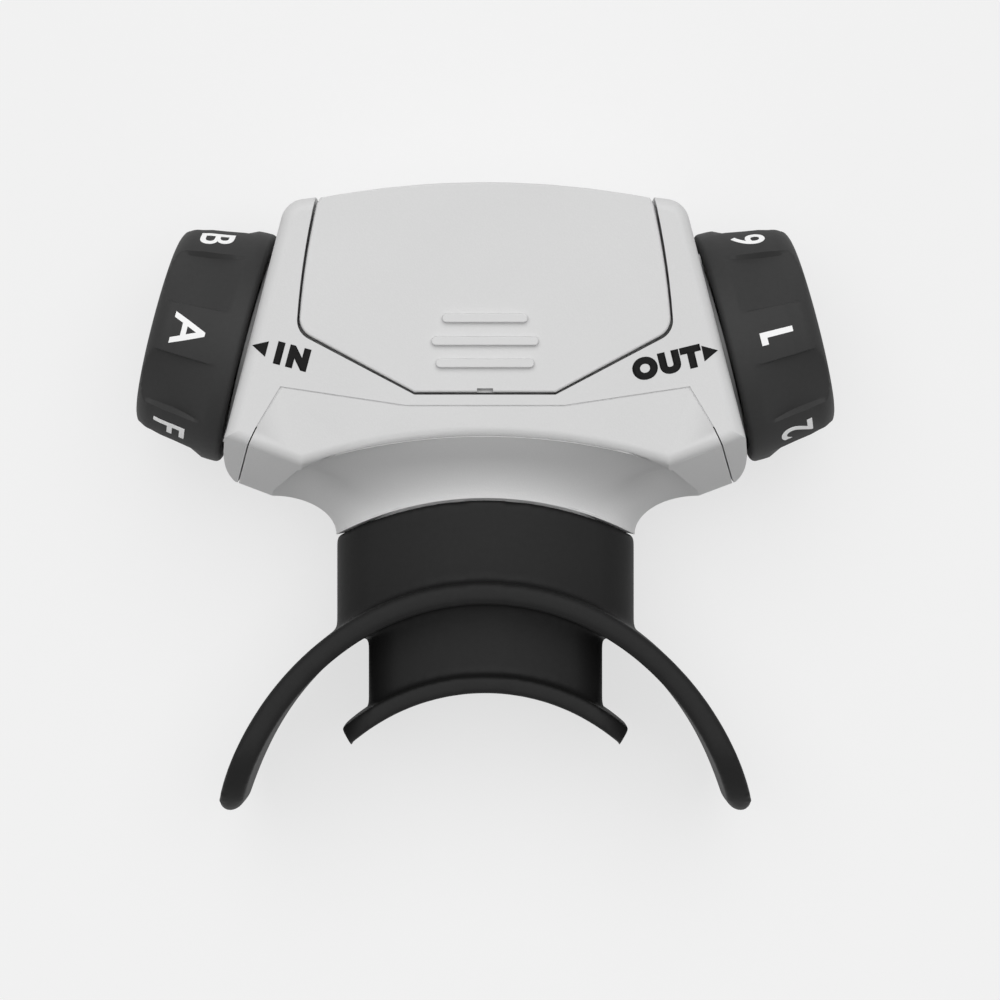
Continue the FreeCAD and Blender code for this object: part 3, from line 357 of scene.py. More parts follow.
@dataclass(frozen=True)
class PrintedInk:
    """A thin layer of pad-printed ink that lets a little of the texture through."""

    name: str
    colour: tuple[float, float, float, float]
    gloss: float = 0.2

    def material(self) -> bpy.types.Material:
        """Builds the material."""
        recipe = Recipe(self.name)
        speckle = recipe.noise(0.16 * MM, 3)
        worn = shaded(self.colour, 0.93, 0.004)
        recipe.set(
            Base_Color=recipe.blend(speckle, worn, self.colour),
            Roughness=0.5 + speckle * 0.12,
            Normal=recipe.bump(speckle, 0.004 * MM),
            Specular_IOR_Level=self.gloss,
        )
        return recipe.material


@dataclass(frozen=True)
class BrushedSteel:
    """Stainless steel with fine draw lines along one direction."""

    name: str
    colour: tuple[float, float, float, float]
    roughness: float = 0.28

    def material(self) -> bpy.types.Material:
        """Builds the material."""
        recipe = Recipe(self.name)
        lines = recipe.noise(0.08 * MM, 3, recipe.place((1, 0.08, 1)))
        stain = recipe.noise(3 * MM, 2)
        dull = shaded(self.colour, 0.84)
        recipe.set(
            Base_Color=recipe.blend(lines * 0.7 + stain * 0.3, dull, self.colour),
            Metallic=1.0,
            Roughness=self.roughness + lines * 0.14,
            Normal=recipe.bump(lines, 0.003 * MM),
        )
        return recipe.material


@dataclass(frozen=True)
class BoardLaminate:
    """Solder mask over copper: tracks show through as paler bands, with tinned pads."""

    name: str
    mask: tuple[float, float, float, float]
    copper: tuple[float, float, float, float]

    def material(self) -> bpy.types.Material:
        """Builds the material."""
        recipe = Recipe(self.name)
        across = recipe.node(
            "ShaderNodeTexWave",
            {"bands_direction": "X"},
            {"Vector": recipe.place(), "Scale": 0.35 / MM, "Distortion": 3.0, "Detail": 0.0},
            "Fac",
        )
        islands = recipe.noise(3.2 * MM, 0)
        track = (across > 0.86) * (islands > 0.46)
        weave = recipe.cells(0.35 * MM)
        pad = recipe.cells(2.6 * MM) < 0.13
        green = recipe.blend(track * 0.55 + weave * 0.12, self.mask, self.copper)
        recipe.set(
            Base_Color=recipe.blend(pad, green, grey(205)),
            Metallic=pad * 0.9,
            Roughness=0.34 + weave * 0.1 - pad * 0.06,
            Normal=recipe.bump(track * 0.7 + weave * 0.3, 0.02 * MM),
        )
        return recipe.material


@dataclass(frozen=True)
class PaleMembrane:
    """Thin translucent silicone."""

    name: str
    colour: tuple[float, float, float, float]

    def material(self) -> bpy.types.Material:
        """Builds the material."""
        recipe = Recipe(self.name)
        haze = recipe.noise(1.4 * MM, 3)
        recipe.set(
            Base_Color=recipe.blend(haze, self.colour, grey(226)),
            Roughness=0.34 + haze * 0.12,
            Normal=recipe.bump(haze, 0.01 * MM),
            Subsurface_Weight=0.25,
            Subsurface_Scale=0.0006,
        )
        return recipe.material


class Finishes:
    """Every finish of the trainer, built once and handed out by name."""

    def __init__(self) -> None:
        """Builds the materials."""
        self.shell = SatinShell("shell_satin_grey", grey(209)).material()
        self.cover = SatinShell("cover_satin_grey", grey(210), relief=0.008).material()
        self.mouth_silicone = SoftTouch("mouthpiece_silicone", grey(22), 0.55, 0.2).material()
        self.grip_rubber = SoftTouch("grip_soft_rubber", grey(46), 0.58, 0.25).material()
        self.seal_rubber = SoftTouch("seal_rubber", grey(60), 0.7).material()
        self.dial_plastic = SatinShell(
            "dial_black_plastic", grey(48), grain=0.16, relief=0.006, roughness=0.38
        ).material()
        self.inner_plastic = SatinShell(
            "inner_grey_plastic", grey(96), grain=0.3, relief=0.012, roughness=0.5
        ).material()
        self.port_plastic = SatinShell(
            "port_grey_plastic", grey(120), grain=0.25, relief=0.008, roughness=0.42
        ).material()
        self.membrane = PaleMembrane("valve_membrane_silicone", grey(200)).material()
        self.steel = BrushedSteel("stainless_steel", grey(200)).material()
        self.cell_can = BrushedSteel("cell_can_steel", grey(188), roughness=0.2).material()
        self.board = BoardLaminate(
            "board_laminate", tinted(28, 98, 58), tinted(96, 150, 84)
        ).material()
        self.sensor = SatinShell(
            "sensor_package", grey(52), grain=0.1, relief=0.004, roughness=0.4
        ).material()
        self.white_ink = PrintedInk("white_ink", grey(252)).material()
        self.black_ink = PrintedInk("black_ink", grey(8), 0.1).material()


class Bench:
    """The modelling steps that the sub-assemblies share, all made with Blender's operators."""

    @staticmethod
    def clear() -> None:
        """Leaves nothing selected and nothing being edited."""
        if bpy.context.object and bpy.context.object.mode != "OBJECT":
            bpy.ops.object.mode_set(mode="OBJECT")
        for item in bpy.context.selected_objects:
            item.select_set(False)
        bpy.context.view_layer.objects.active = None

    @staticmethod
    def pick(item: bpy.types.Object) -> None:
        """Selects one object alone and makes it active."""
        Bench.clear()
        item.select_set(True)
        bpy.context.view_layer.objects.active = item

    @staticmethod
    def named(name: str) -> bpy.types.Object:
        """Names the active object and its mesh.

        Args:
            name: The piece's name.

        Returns:
            The object.
        """
        item = bpy.context.object
        item.name = name
        item.data.name = name
        return item

    @staticmethod
    def copied(name: str, node: str) -> bpy.types.Object:
        """Copies one of the solids and merges its loose triangles.

        Args:
            name: The new piece's name.
            node: The solid's name.

        Returns:
            The copy.
        """
        Bench.clear()
        item = bpy.data.objects.new(name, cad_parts[node].data.copy())
        bpy.context.scene.collection.objects.link(item)
        Bench.finish_skin(item)
        return item

    @staticmethod
    def edit(item: bpy.types.Object, kind: str = "VERT") -> None:
        """Opens an object's mesh for editing with nothing selected.

        Args:
            item: The object.
            kind: What is picked, VERT, EDGE or FACE.
        """
        Bench.pick(item)
        bpy.ops.object.mode_set(mode="EDIT")
        bpy.ops.mesh.select_mode(type=kind)
        bpy.ops.mesh.select_all(action="DESELECT")

    @staticmethod
    def done() -> None:
        """Closes the mesh."""
        bpy.ops.object.mode_set(mode="OBJECT")

    @staticmethod
    def round_edges(
        item: bpy.types.Object,
        test: Callable[[Vector, Vector], bool],
        width: float,
        steps: int = 4,
    ) -> None:
        """Rounds the edges whose two ends pass a test.

        Args:
            item: The object.
            test: Takes the two ends and says whether the edge is wanted.
            width: The rounding's radius in millimetres.
            steps: How many facets the rounding has.
        """
        Bench.edit(item, "EDGE")
        bpy.ops.object.mode_set(mode="OBJECT")
        for edge in item.data.edges:
            edge.select = test(*(item.data.vertices[i].co for i in edge.vertices))
        bpy.ops.object.mode_set(mode="EDIT")
        bpy.ops.mesh.bevel(
            offset_type="OFFSET", offset=width * MM, segments=steps, affect="EDGES"
        )
        Bench.done()

    @staticmethod
    def finish_skin(item: bpy.types.Object) -> None:
        """Merges a skin's doubles and turns its faces outwards."""
        Bench.edit(item)
        bpy.ops.mesh.select_all(action="SELECT")
        bpy.ops.mesh.remove_doubles(threshold=SAME_POINT)
        bpy.ops.mesh.normals_make_consistent(inside=False)
        Bench.done()

    @staticmethod
    def modify(item: bpy.types.Object, kind: str, **settings: object) -> None:
        """Adds a modifier and applies it at once.

        Args:
            item: The object.
            kind: The modifier's type.
            settings: Its properties.
        """
        Bench.pick(item)
        modifier = item.modifiers.new(kind.lower(), kind)
        for key, value in settings.items():
            setattr(modifier, key, value)
        bpy.ops.object.modifier_apply(modifier=modifier.name)

    @staticmethod
    def smooth(item: bpy.types.Object, angle: float) -> None:
        """Shades an object smooth except over edges sharper than angle, in degrees."""
        Bench.pick(item)
        bpy.ops.object.shade_smooth_by_angle(angle=math.radians(angle))

    @staticmethod
    def traced(name: str, corners: Sequence[Vector]) -> bpy.types.Object:
        """Extrudes one point from corner to corner, and leaves the mesh open for editing.

        Args:
            name: The piece's name.
            corners: The corners in metres.

        Returns:
            The traced line.
        """
        Bench.clear()
        bpy.ops.mesh.primitive_plane_add(size=MM)
        item = Bench.named(name)
        bpy.ops.object.mode_set(mode="EDIT")
        bpy.ops.mesh.select_all(action="SELECT")
        bpy.ops.mesh.merge(type="CENTER")
        bpy.ops.transform.translate(value=corners[0])
        for here, there in zip(corners, corners[1:]):
            bpy.ops.mesh.extrude_region_move(TRANSFORM_OT_translate={"value": there - here})
        bpy.ops.mesh.select_all(action="SELECT")
        return item

    @staticmethod
    def turned(name: str, outline: Sequence[tuple[float, float]], steps: int) -> bpy.types.Object:
        """Spins a closed outline once round Z.

        Args:
            name: The piece's name.
            outline: Its corners as (radius, height) in millimetres.
            steps: How many steps the turn has.

        Returns:
            The open-edged skin, before its corners are rounded.
        """
        corners = [Vector((radius, 0, height)) * MM for radius, height in outline]
        item = Bench.traced(name, corners + corners[:1])
        bpy.ops.mesh.remove_doubles(threshold=SAME_POINT)
        bpy.ops.mesh.select_all(action="SELECT")
        bpy.ops.mesh.spin(
            steps=steps, angle=math.tau, center=(0, 0, 0), axis=(0, 0, 1), dupli=False
        )
        bpy.ops.object.mode_set(mode="OBJECT")
        Bench.finish_skin(item)
        return item

    @staticmethod
    def round_ring(
        item: bpy.types.Object, radius: float, height: float, width: float, steps: int
    ) -> None:
        """Rounds one circular edge of a turned piece.

        Args:
            item: The piece, turned about Z.
            radius: The edge's radius in millimetres.
            height: The edge's height in millimetres.
            width: The rounding's radius in millimetres.
            steps: How many facets the rounding has.
        """
        near = 0.004 * MM

        def on_ring(point: Vector) -> bool:
            """Says whether a point lies on the edge."""
            return (
                abs(math.hypot(point.x, point.y) - radius * MM) < near
                and abs(point.z - height * MM) < near
            )

        Bench.round_edges(item, lambda one, two: on_ring(one) and on_ring(two), width, steps)

    @staticmethod
    def slice(
        item: bpy.types.Object, normal: tuple[float, float, float], places: Sequence[float]
    ) -> None:
        """Adds edges where planes cross a piece, keeping both halves.

        Args:
            item: The object.
            normal: The direction of the planes.
            places: Their distances from the origin in metres.
        """
        Bench.edit(item)
        for place in places:
            bpy.ops.mesh.select_all(action="SELECT")
            bpy.ops.mesh.bisect(plane_co=Vector(normal) * place, plane_no=normal)
        Bench.done()


def paint(item: bpy.types.Object, material: bpy.types.Material) -> None:
    """Gives a piece one finish all over."""
    item.data.materials.clear()
    item.data.materials.append(material)


def dress_nodes(names: Sequence[str], material: bpy.types.Material) -> None:
    """Gives carried-over solids their finish.

    Args:
        names: The solids' names.
        material: The finish.
    """
    for name in names:
        paint(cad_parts[name], material)
        log.info("solid %s: %s", name, material.name)


def attach(item: bpy.types.Object, body: Body, *stands_for: str, slot: str = "") -> None:
    """Makes a new piece ride on a body and reports it.

    Args:
        item: The piece.
        body: The body that it moves with.
        stands_for: The solids that it is shown in place of.
        slot: A material slot's name from the record; not used.
    """
    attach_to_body(item, body.value)
    if stands_for:
        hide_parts(*stands_for)
    log.info("piece %s: %d points on %s", item.name, len(item.data.vertices), body.value)


@dataclass
class Lettering:
    """A word or sign cut from thin ink and laid on a surface."""

    words: str
    height: float
    boldness: float
    width: float = 0.0
    spacing: float = 1.0
    thickness: float = 0.05
    cell: float = 0.4
    flag_share: float = 0.2

    def flat(self, name: str) -> bpy.types.Object:
        """Makes the word as a flat mesh, centred on the origin and facing +Z.

        Args:
            name: The piece's name.

        Returns:
            The mesh, cut into small cells so that it can follow a curve.
        """
        Bench.clear()
        bpy.ops.object.text_add()
        item = bpy.context.object
        item.data.body = self.words
        item.data.size = self.height * MM
        item.data.offset = self.boldness * self.height * MM
        item.data.space_character = self.spacing
        item.data.resolution_u = 6
        bpy.ops.object.convert(target="MESH")
        item = Bench.named(name)
        Bench.finish_skin(item)
        corners = [vertex.co for vertex in item.data.vertices]
        low = Vector([min(c[i] for c in corners) for i in range(3)])
        high = Vector([max(c[i] for c in corners) for i in range(3)])
        rise = self.height * MM / (high.y - low.y)
        stretch = self.width * MM / (high.x - low.x) if self.width else rise
        item.data.transform(Matrix.Translation(-(low + high) / 2))
        item.data.transform(Matrix.Diagonal((stretch, rise, 1, 1)))
        if self.words == "1":
            self.add_flag(item)
        self.cut_cells(item)
        return item

    def add_flag(self, item: bpy.types.Object) -> None:
        """Gives a bare upright stroke the flag of a numeral one, at its top left."""
        side = max(vertex.co.x for vertex in item.data.vertices)
        top = max(vertex.co.y for vertex in item.data.vertices)
        reach = self.height * self.flag_share * MM
        Bench.edit(item)
        bpy.ops.mesh.primitive_plane_add(size=reach)
        bpy.ops.transform.translate(value=(-side - reach / 2, top - reach / 2, 0))
        Bench.done()

    def cut_cells(self, item: bpy.types.Object) -> None:
        """Cuts a flat mesh by a grid of lines."""
        for axis, normal in enumerate(((1, 0, 0), (0, 1, 0))):
            reach = max(abs(vertex.co[axis]) for vertex in item.data.vertices)
            count = int(reach / (self.cell * MM))
            places = [i * self.cell * MM for i in range(-count, count + 1)]
            Bench.slice(item, normal, places)

    def raise_ink(self, item: bpy.types.Object) -> None:
        """Gives the laid ink its thickness, outwards."""
        Bench.modify(item, "SOLIDIFY", thickness=self.thickness * MM, offset=1.0)


@dataclass
class Mouthpiece:
    """The soft mouthpiece: sleeve, lip shield, neck and bite lip in one moulding."""

    voxel: float = 0.36
    softening: int = 16
    shield_half_width: float = 34.05
    shield_half_depth: float = 37.6
    shield_centre: float = -49.7
    shield_thickness: float = 3.1
    slant: float = 1.04
    lip_tip: tuple[float, float] = (17.95, -30.6)
    lip_heading: tuple[float, float] = (0.84, -0.54)
    lip_reach: float = 19.0
    node: str = "mouthpiece"

    def mesh(self) -> bpy.types.Object:
        """Casts the silicone moulding over the solid's form, with soft rounded edges."""
        item = Bench.copied("silicone_moulding", self.node)
        Bench.modify(item, "REMESH", mode="VOXEL", voxel_size=self.voxel * MM)
        self.trim_lip(item)
        Bench.modify(item, "SMOOTH", factor=0.5, iterations=self.softening)
        self.round_tips(item)
        Bench.smooth(item, 60)
        return item

    def shield_middle(self, place: float) -> float:
        """Gives the distance of the lip shield's middle from X = 0 at a Y, both in metres."""
        lean = (place / MM - self.shield_centre) / self.shield_half_depth
        return self.shield_half_width * MM * math.sqrt(1 - lean**2)

    def trim_lip(self, item: bpy.types.Object) -> None:
        """Draws the ends of the bite lip back along its band, to a square cut."""
        along = Vector(self.lip_heading).normalized()
        for vertex in item.data.vertices:
            place = Vector((abs(vertex.co.x), vertex.co.y)) / MM
            over = (place - Vector(self.lip_tip)).dot(along)
            if over <= 0 or place.x > self.lip_reach:
                continue
            vertex.co.y -= over * along.y * MM
            vertex.co.x -= math.copysign(over * along.x * MM, vertex.co.x)

    def round_tips(self, item: bpy.types.Object) -> None:
        """Brings the two ends of the lip shield to a full round."""
        half = self.shield_thickness / 2 * MM
        tip = min(vertex.co.y for vertex in item.data.vertices)
        for vertex in item.data.vertices:
            run = (vertex.co.y - tip) / half
            if run >= 1:
                continue
            middle = self.shield_middle(vertex.co.y)
            off = min(1, abs(abs(vertex.co.x) - middle) / (half * self.slant))
            fall = 1 - math.sqrt(1 - off**2)
            place = tip + half * (run + (1 - run) * fall)
            vertex.co.x *= 1 + (self.shield_middle(place) - middle) / abs(vertex.co.x)
            vertex.co.y = place

    def build(self, finishes: Finishes) -> None:
        """Makes and dresses the mouthpiece."""
        item = self.mesh()
        paint(item, finishes.mouth_silicone)
        attach(item, Body.MOUTHPIECE, self.node, slot="silicone")


@dataclass
class Flare:
    """The hollow flare of the rear shell, from the nozzle's rim out to the crease.

    Sizes are in millimetres, and heights are taken from the middle of the airway.
    """

    half_width: float = 19.4
    half_height: float = 9.6
    end_round: float = 7.2
    middle: float = 16.5
    rim_radius: float = 42.1
    rim_place: float = 0.04
    crease_radius: float = 77.0
    crease_place: float = 7.96
    draft: float = 18.0
    rear: float = -0.15
    valley: tuple[float, float] = (23.0, 4.3)
    shoulder_slope: float = 0.376
    heel: float = 28.2
    root_height: float = 15.93
    corner: float = 50.0
    softness: float = 4.0
    lift: float = 0.12
    bend: float = 0.69
    tuck: float = 0.8
    behind: float = -14.0
    clearance: float = 0.15
    side_clearance: float = 0.006
    edge_inset: float = 0.002
    core_share: float = 0.9
    root_share: tuple[float, float] = (0.97, 0.95)
    rim_cut: float = 0.988
    dish_radius: float = 75.5
    node: str = "rear_housing"
    around: int = 240
    along: int = 30

    def on_oval(self, heading: float) -> tuple[float, float]:
        """Gives the point of the nozzle's oval where its skin faces a direction.

        Args:
            heading: The direction in radians, from the right side upwards.

        Returns:
            The point's X and height.
        """
        reach = self.half_width - self.end_round
        spare = self.half_height - self.end_round
        large = (reach**2 + self.half_height**2 - self.end_round**2) / (2 * spare)
        turn = math.atan2(large - self.half_height, reach)
        across, rise = math.cos(heading), math.sin(heading)
        if abs(rise) < math.sin(turn):
            return math.copysign(reach, across) + self.end_round * across, self.end_round * rise
        return large * across, large * rise - math.copysign(large - self.half_height, rise)

    def root(self, angle: float) -> Vector:
        """Gives the flare's outer edge from behind: the crease on top, a slanted ridge beside it.

        Args:
            angle: The direction in radians, from the right side upwards.

        Returns:
            The edge's X and height.
        """
        steep = math.degrees(math.asin(abs(math.sin(angle))))
        if steep < self.corner:
            share = steep / self.corner
            across = self.heel + (self.valley[0] - self.heel) * share
            rise = self.root_height * share
        else:
            share = (90 - steep) / (90 - self.corner)
            across = self.valley[0] * share
            rise = self.root_height
        return Vector((math.copysign(across, math.cos(angle)), math.copysign(rise, math.sin(angle))))

    def wall(self, x: float, z: float) -> float:
        """Gives the place along Y of the shell's rear face at X and height."""
        slope = math.tan(math.radians(self.draft))
        drop = self.middle - abs(z)
        scoop = math.sqrt((self.crease_radius - slope * drop) ** 2 - x**2)
        shoulder = self.valley[1] + (abs(x) - self.valley[0]) * self.shoulder_slope
        shoulder -= slope * drop * math.hypot(1, self.shoulder_slope)
        return max(self.crease_place - self.crease_radius + scoop, shoulder, self.rear)

    def grown(self, run: float, steep: float) -> float:
        """Says how far the flare has opened.

        Args:
            run: 0 at the rim and 1 at the root.
            steep: 0 beside the nozzle and 1 above or below it.

        Returns:
            0 on the nozzle's oval and 1 at the flare's edge.
        """
        side = 1 - math.sqrt(1 - min(run, 1) ** 2)
        curve = (1 - self.lift) / (2 * self.bend - self.bend**2)
        curved = min(run, self.bend)
        roof = self.lift * run + curve * (curved**2 + 2 * self.bend * (run - curved))
        return side * (1 - steep) + roof * steep

    def dish(self, x: float, z: float, edge: Vector) -> float:
        """Says how far the flare is sunk behind the plain rear face, as its crease is an arc."""
        deep = math.sqrt(self.dish_radius**2 - x**2) - math.sqrt(self.dish_radius**2 - edge.x**2)
        return deep * min(1, abs(z) / self.root_height)

    def strand(self, heading: float, outside: bool) -> list[Vector]:
        """Gives one strand of the skin from the rim to the edge.

        Args:
            heading: The strand's place round the nozzle.
            outside: True to close it behind the trainer, False to close it inside the shell.

        Returns:
            The strand's points as a closed loop.
        """
        x, z = self.on_oval(heading)
        angle = math.atan2(z / self.half_height, x / self.half_width)
        offsets = [math.radians(self.softness * step) for step in (-2, -1, 0, 1, 2)]
        edge = sum((self.root(angle + offset) for offset in offsets), Vector((0, 0))) / 5
        steep = abs(math.sin(angle))
        rim = self.rim_place - self.rim_radius + math.sqrt(self.rim_radius**2 - x**2)
        wall = self.wall(*edge)
        lip = Vector((x, z)) * self.rim_cut
        points = [Vector((lip.x, rim + self.clearance, lip.y))] if outside else []
        for step in range(self.along + 1):
            run = math.sin(math.pi / 2 * step / self.along)
            share = self.grown(run, steep) - self.edge_inset
            if outside:
                share += self.side_clearance * (1 - run)
            across = x + (edge.x - x) * share
            rise = z + (edge.y - z) * share
            place = rim + (wall + self.dish(across, rise, edge) - rim) * run
            if outside:
                place += self.clearance
            points.append(Vector((across, place, rise)))
        if outside:
            points.append(Vector((edge.x, self.behind, edge.y)))
            points.append(Vector((lip.x, self.behind, lip.y)))
            return points
        inner = Vector((x, z)) * self.core_share
        root = Vector((edge.x * self.root_share[0], edge.y * self.root_share[1]))
        points.append(Vector((root.x, wall + self.tuck, root.y)))
        points.append(Vector((inner.x, wall + self.tuck, inner.y)))
        points.append(Vector((inner.x, rim + self.tuck / 2, inner.y)))
        return points

    def bent(self, name: str, outside: bool) -> bpy.types.Object:
        """Bends a grid round the nozzle into a closed ring of strands.

        Args:
            name: The piece's name.
            outside: Whether the ring lies behind the flare's face or inside it.

        Returns:
            The ring.
        """
        headings = [math.tau * i / self.around for i in range(self.around)]
        strands = [self.strand(heading, outside) for heading in headings]
        rows = len(strands[0])
        Bench.clear()
        bpy.ops.mesh.primitive_grid_add(
            x_subdivisions=self.around, y_subdivisions=rows, size=1
        )
        item = Bench.named(name)
        for vertex in item.data.vertices:
            column = round((vertex.co.x + 0.5) * self.around) % self.around
            row = round((vertex.co.y + 0.5) * rows) % rows
            vertex.co = (strands[column][row] + Vector((0, 0, self.middle))) * MM
        Bench.finish_skin(item)
        return item

    def carved(self) -> bpy.types.Object:
        """Copies the rear shell and carves away what would stand out of the flare."""
        carver = self.bent("flare_carver", True)
        shell = Bench.copied("rear_shell", self.node)
        Bench.modify(shell, "BOOLEAN", object=carver, operation="DIFFERENCE", solver="EXACT")
        bpy.data.objects.remove(carver)
        Bench.smooth(shell, 30)
        Bench.modify(shell, "WEIGHTED_NORMAL", keep_sharp=True)
        return shell

    def build(self, finishes: Finishes) -> None:
        """Makes and dresses the rear shell and its flare."""
        shell = self.carved()
        paint(shell, finishes.shell)
        attach(shell, Body.HOUSING, self.node, slot="housing")
        flare = self.bent("nozzle_flare", False)
        Bench.smooth(flare, 40)
        paint(flare, finishes.shell)
        attach(flare, Body.HOUSING)


@dataclass
class Dial:
    """One of the two dials: soft grip with six scallops, and a sign on each pad."""

    side: Side
    signs: str
    steps: int = 360
    tilt: float = 14.5
    centre: tuple[float, float, float] = (29.95, 19.2, 16.5)
    collar: float = 15.2
    collar_rounding: float = 0.5
    skin: tuple[tuple[float, float], ...] = (
        (15.2, 2.8),
        (14.95, 4.8),
        (14.55, 7.0),
        (14.25, 8.9),
        (13.9, 10.2),
        (13.48, 12.8),
    )
    end_rounding: float = 2.3
    lip_rounding: float = 0.25
    lip: float = 10.5
    lip_height: float = 12.0
    bore: float = 12.3
    bore_margin: float = 0.05
    foot: float = 13.4
    foot_height: float = 0.8
    foot_rounding: float = 0.7
    core_height: float = 1.3
    scallop_half: float = 17.0
    scallop_step: float = 0.75
    scallop_depth: float = 1.1
    scallop_start: float = 3.3
    scallop_cuts: int = 26
    sign_boldness: float = 0.012
    sign_lift: float = 0.02
    sign_height: float = 4.3
    sign_place: float = 7.8
    prefix: str = field(init=False)
    body: Body = field(init=False)

    def __post_init__(self) -> None:
        """Works out which body the dial is."""
        self.prefix = self.side.name.lower()
        self.body = Body.IN_DIAL if self.side is Side.IN else Body.OUT_DIAL

    def frame_matrix(self) -> Matrix:
        """Gives the dial's own frame: X up, Z outwards along its axis."""
        turn = math.radians(self.tilt)
        out = Vector((self.side.value * math.cos(turn), math.sin(turn), 0))
        up = Vector((0, 0, 1))
        across = out.cross(up)
        place = Vector((self.side.value * self.centre[0], *self.centre[1:])) * MM
        turned = Matrix((up, across, out)).transposed().to_4x4()
        return Matrix.Translation(place) @ turned

    def pressed(self, radius: float, height: float, angle: float) -> float:
        """Gives the skin's radius once the nearest scallop is pressed in.

        Args:
            radius: The turned skin's radius in millimetres.
            height: The place along the axis in millimetres.
            angle: The place round the axis in degrees.

        Returns:
            The radius in millimetres.
        """
        off = abs((angle % 60.0) - 30.0)
        inside = radius < self.bore + self.bore_margin
        if inside or height <= self.scallop_start or off >= self.scallop_half:
            return radius
        run = (height - self.scallop_start) / (self.skin[-1][1] - self.scallop_start)
        edge = min(1.0, self.scallop_half - off)
        step = self.scallop_step * edge * math.sin(math.pi * run)
        hollow = self.scallop_depth * run * (1 - (off / self.scallop_half) ** 2)
        return min(radius, self.skin_radius(height) - step - hollow)

    def grip(self) -> bpy.types.Object:
        """Turns the grip, rounds its edges and presses the scallops in."""
        top = self.skin[-1][1]
        outline = [
            (self.foot, self.foot_height),
            (self.collar, self.foot_height),
            *self.skin,
            (self.lip, top),
            (self.lip, self.lip_height),
            (self.bore, self.lip_height),
            (self.bore, self.core_height),
            (self.foot, self.core_height),
        ]
        item = Bench.turned(f"{self.prefix}_soft_grip", outline, self.steps)
        Bench.round_ring(item, *self.skin[-1], self.end_rounding, 10)
        Bench.round_ring(item, self.collar, self.foot_height, self.foot_rounding, 5)
        Bench.round_ring(item, *self.skin[0], self.collar_rounding, 4)
        Bench.round_ring(item, self.lip, top, self.lip_rounding, 3)
        cut = (top - self.scallop_start) / self.scallop_cuts
        places = [(self.scallop_start + cut * i) * MM for i in range(self.scallop_cuts)]
        Bench.slice(item, (0, 0, 1), places)
        for vertex in item.data.vertices:
            radius = math.hypot(vertex.co.x, vertex.co.y)
            angle = math.degrees(math.atan2(vertex.co.y, vertex.co.x))
            share = self.pressed(radius / MM, vertex.co.z / MM, angle) * MM / radius
            vertex.co.x *= share
            vertex.co.y *= share
        item.data.transform(self.frame_matrix())
        Bench.finish_skin(item)
        Bench.smooth(item, 40)
        return item

    def sign(self, index: int) -> bpy.types.Object:
        """Wraps one sign round its pad, with its top towards the housing.

        Args:
            index: Which pad it is on, counted from the top.

        Returns:
            The sign's ink.
        """
        lettering = Lettering(self.signs[index], self.sign_height, self.sign_boldness)
        item = lettering.flat(f"{self.prefix}_sign_{self.signs[index]}")
        angle = math.radians(60 * index)
        radius = self.skin_radius(self.sign_place)
        for vertex in item.data.vertices:
            height = self.sign_place - vertex.co.y / MM
            round_place = angle - vertex.co.x / (radius * MM)
            skin = (self.skin_radius(height) + self.sign_lift) * MM
            vertex.co = Vector(
                (skin * math.cos(round_place), skin * math.sin(round_place), height * MM)
            )
        item.data.transform(self.frame_matrix())
        lettering.raise_ink(item)
        Bench.smooth(item, 30)
        return item

    def skin_radius(self, height: float) -> float:
        """Gives the unpressed skin's radius at a height, both in millimetres."""
        for (low_radius, low), (high_radius, high) in zip(self.skin, self.skin[1:]):
            if height <= high:
                share = (height - low) / (high - low)
                return low_radius + (high_radius - low_radius) * share
        return self.skin[-1][0]

    def build(self, finishes: Finishes) -> None:
        """Makes and dresses the dial."""
        grip = self.grip()
        paint(grip, finishes.grip_rubber)
        attach(grip, self.body, f"{self.prefix}_dial_grip", slot="grip")
        for index in range(len(self.signs)):
            sign = self.sign(index)
            paint(sign, finishes.white_ink)
            attach(sign, self.body)
        dress_nodes(
            [f"{self.prefix}_dial_core", f"{self.prefix}_hub_cap"], finishes.dial_plastic
        )
        dress_nodes([f"{self.prefix}_port_plate"], finishes.port_plastic)
        dress_nodes([f"{self.prefix}_valve_seat"], finishes.inner_plastic)
        dress_nodes([f"{self.prefix}_orifice_seal"], finishes.seal_rubber)
        dress_nodes([f"{self.prefix}_valve_membrane"], finishes.membrane)
        steel = [f"{self.prefix}_{name}" for name in ("detent_spring", "dial_washer", "dial_screw")]
        dress_nodes(steel, finishes.steel)


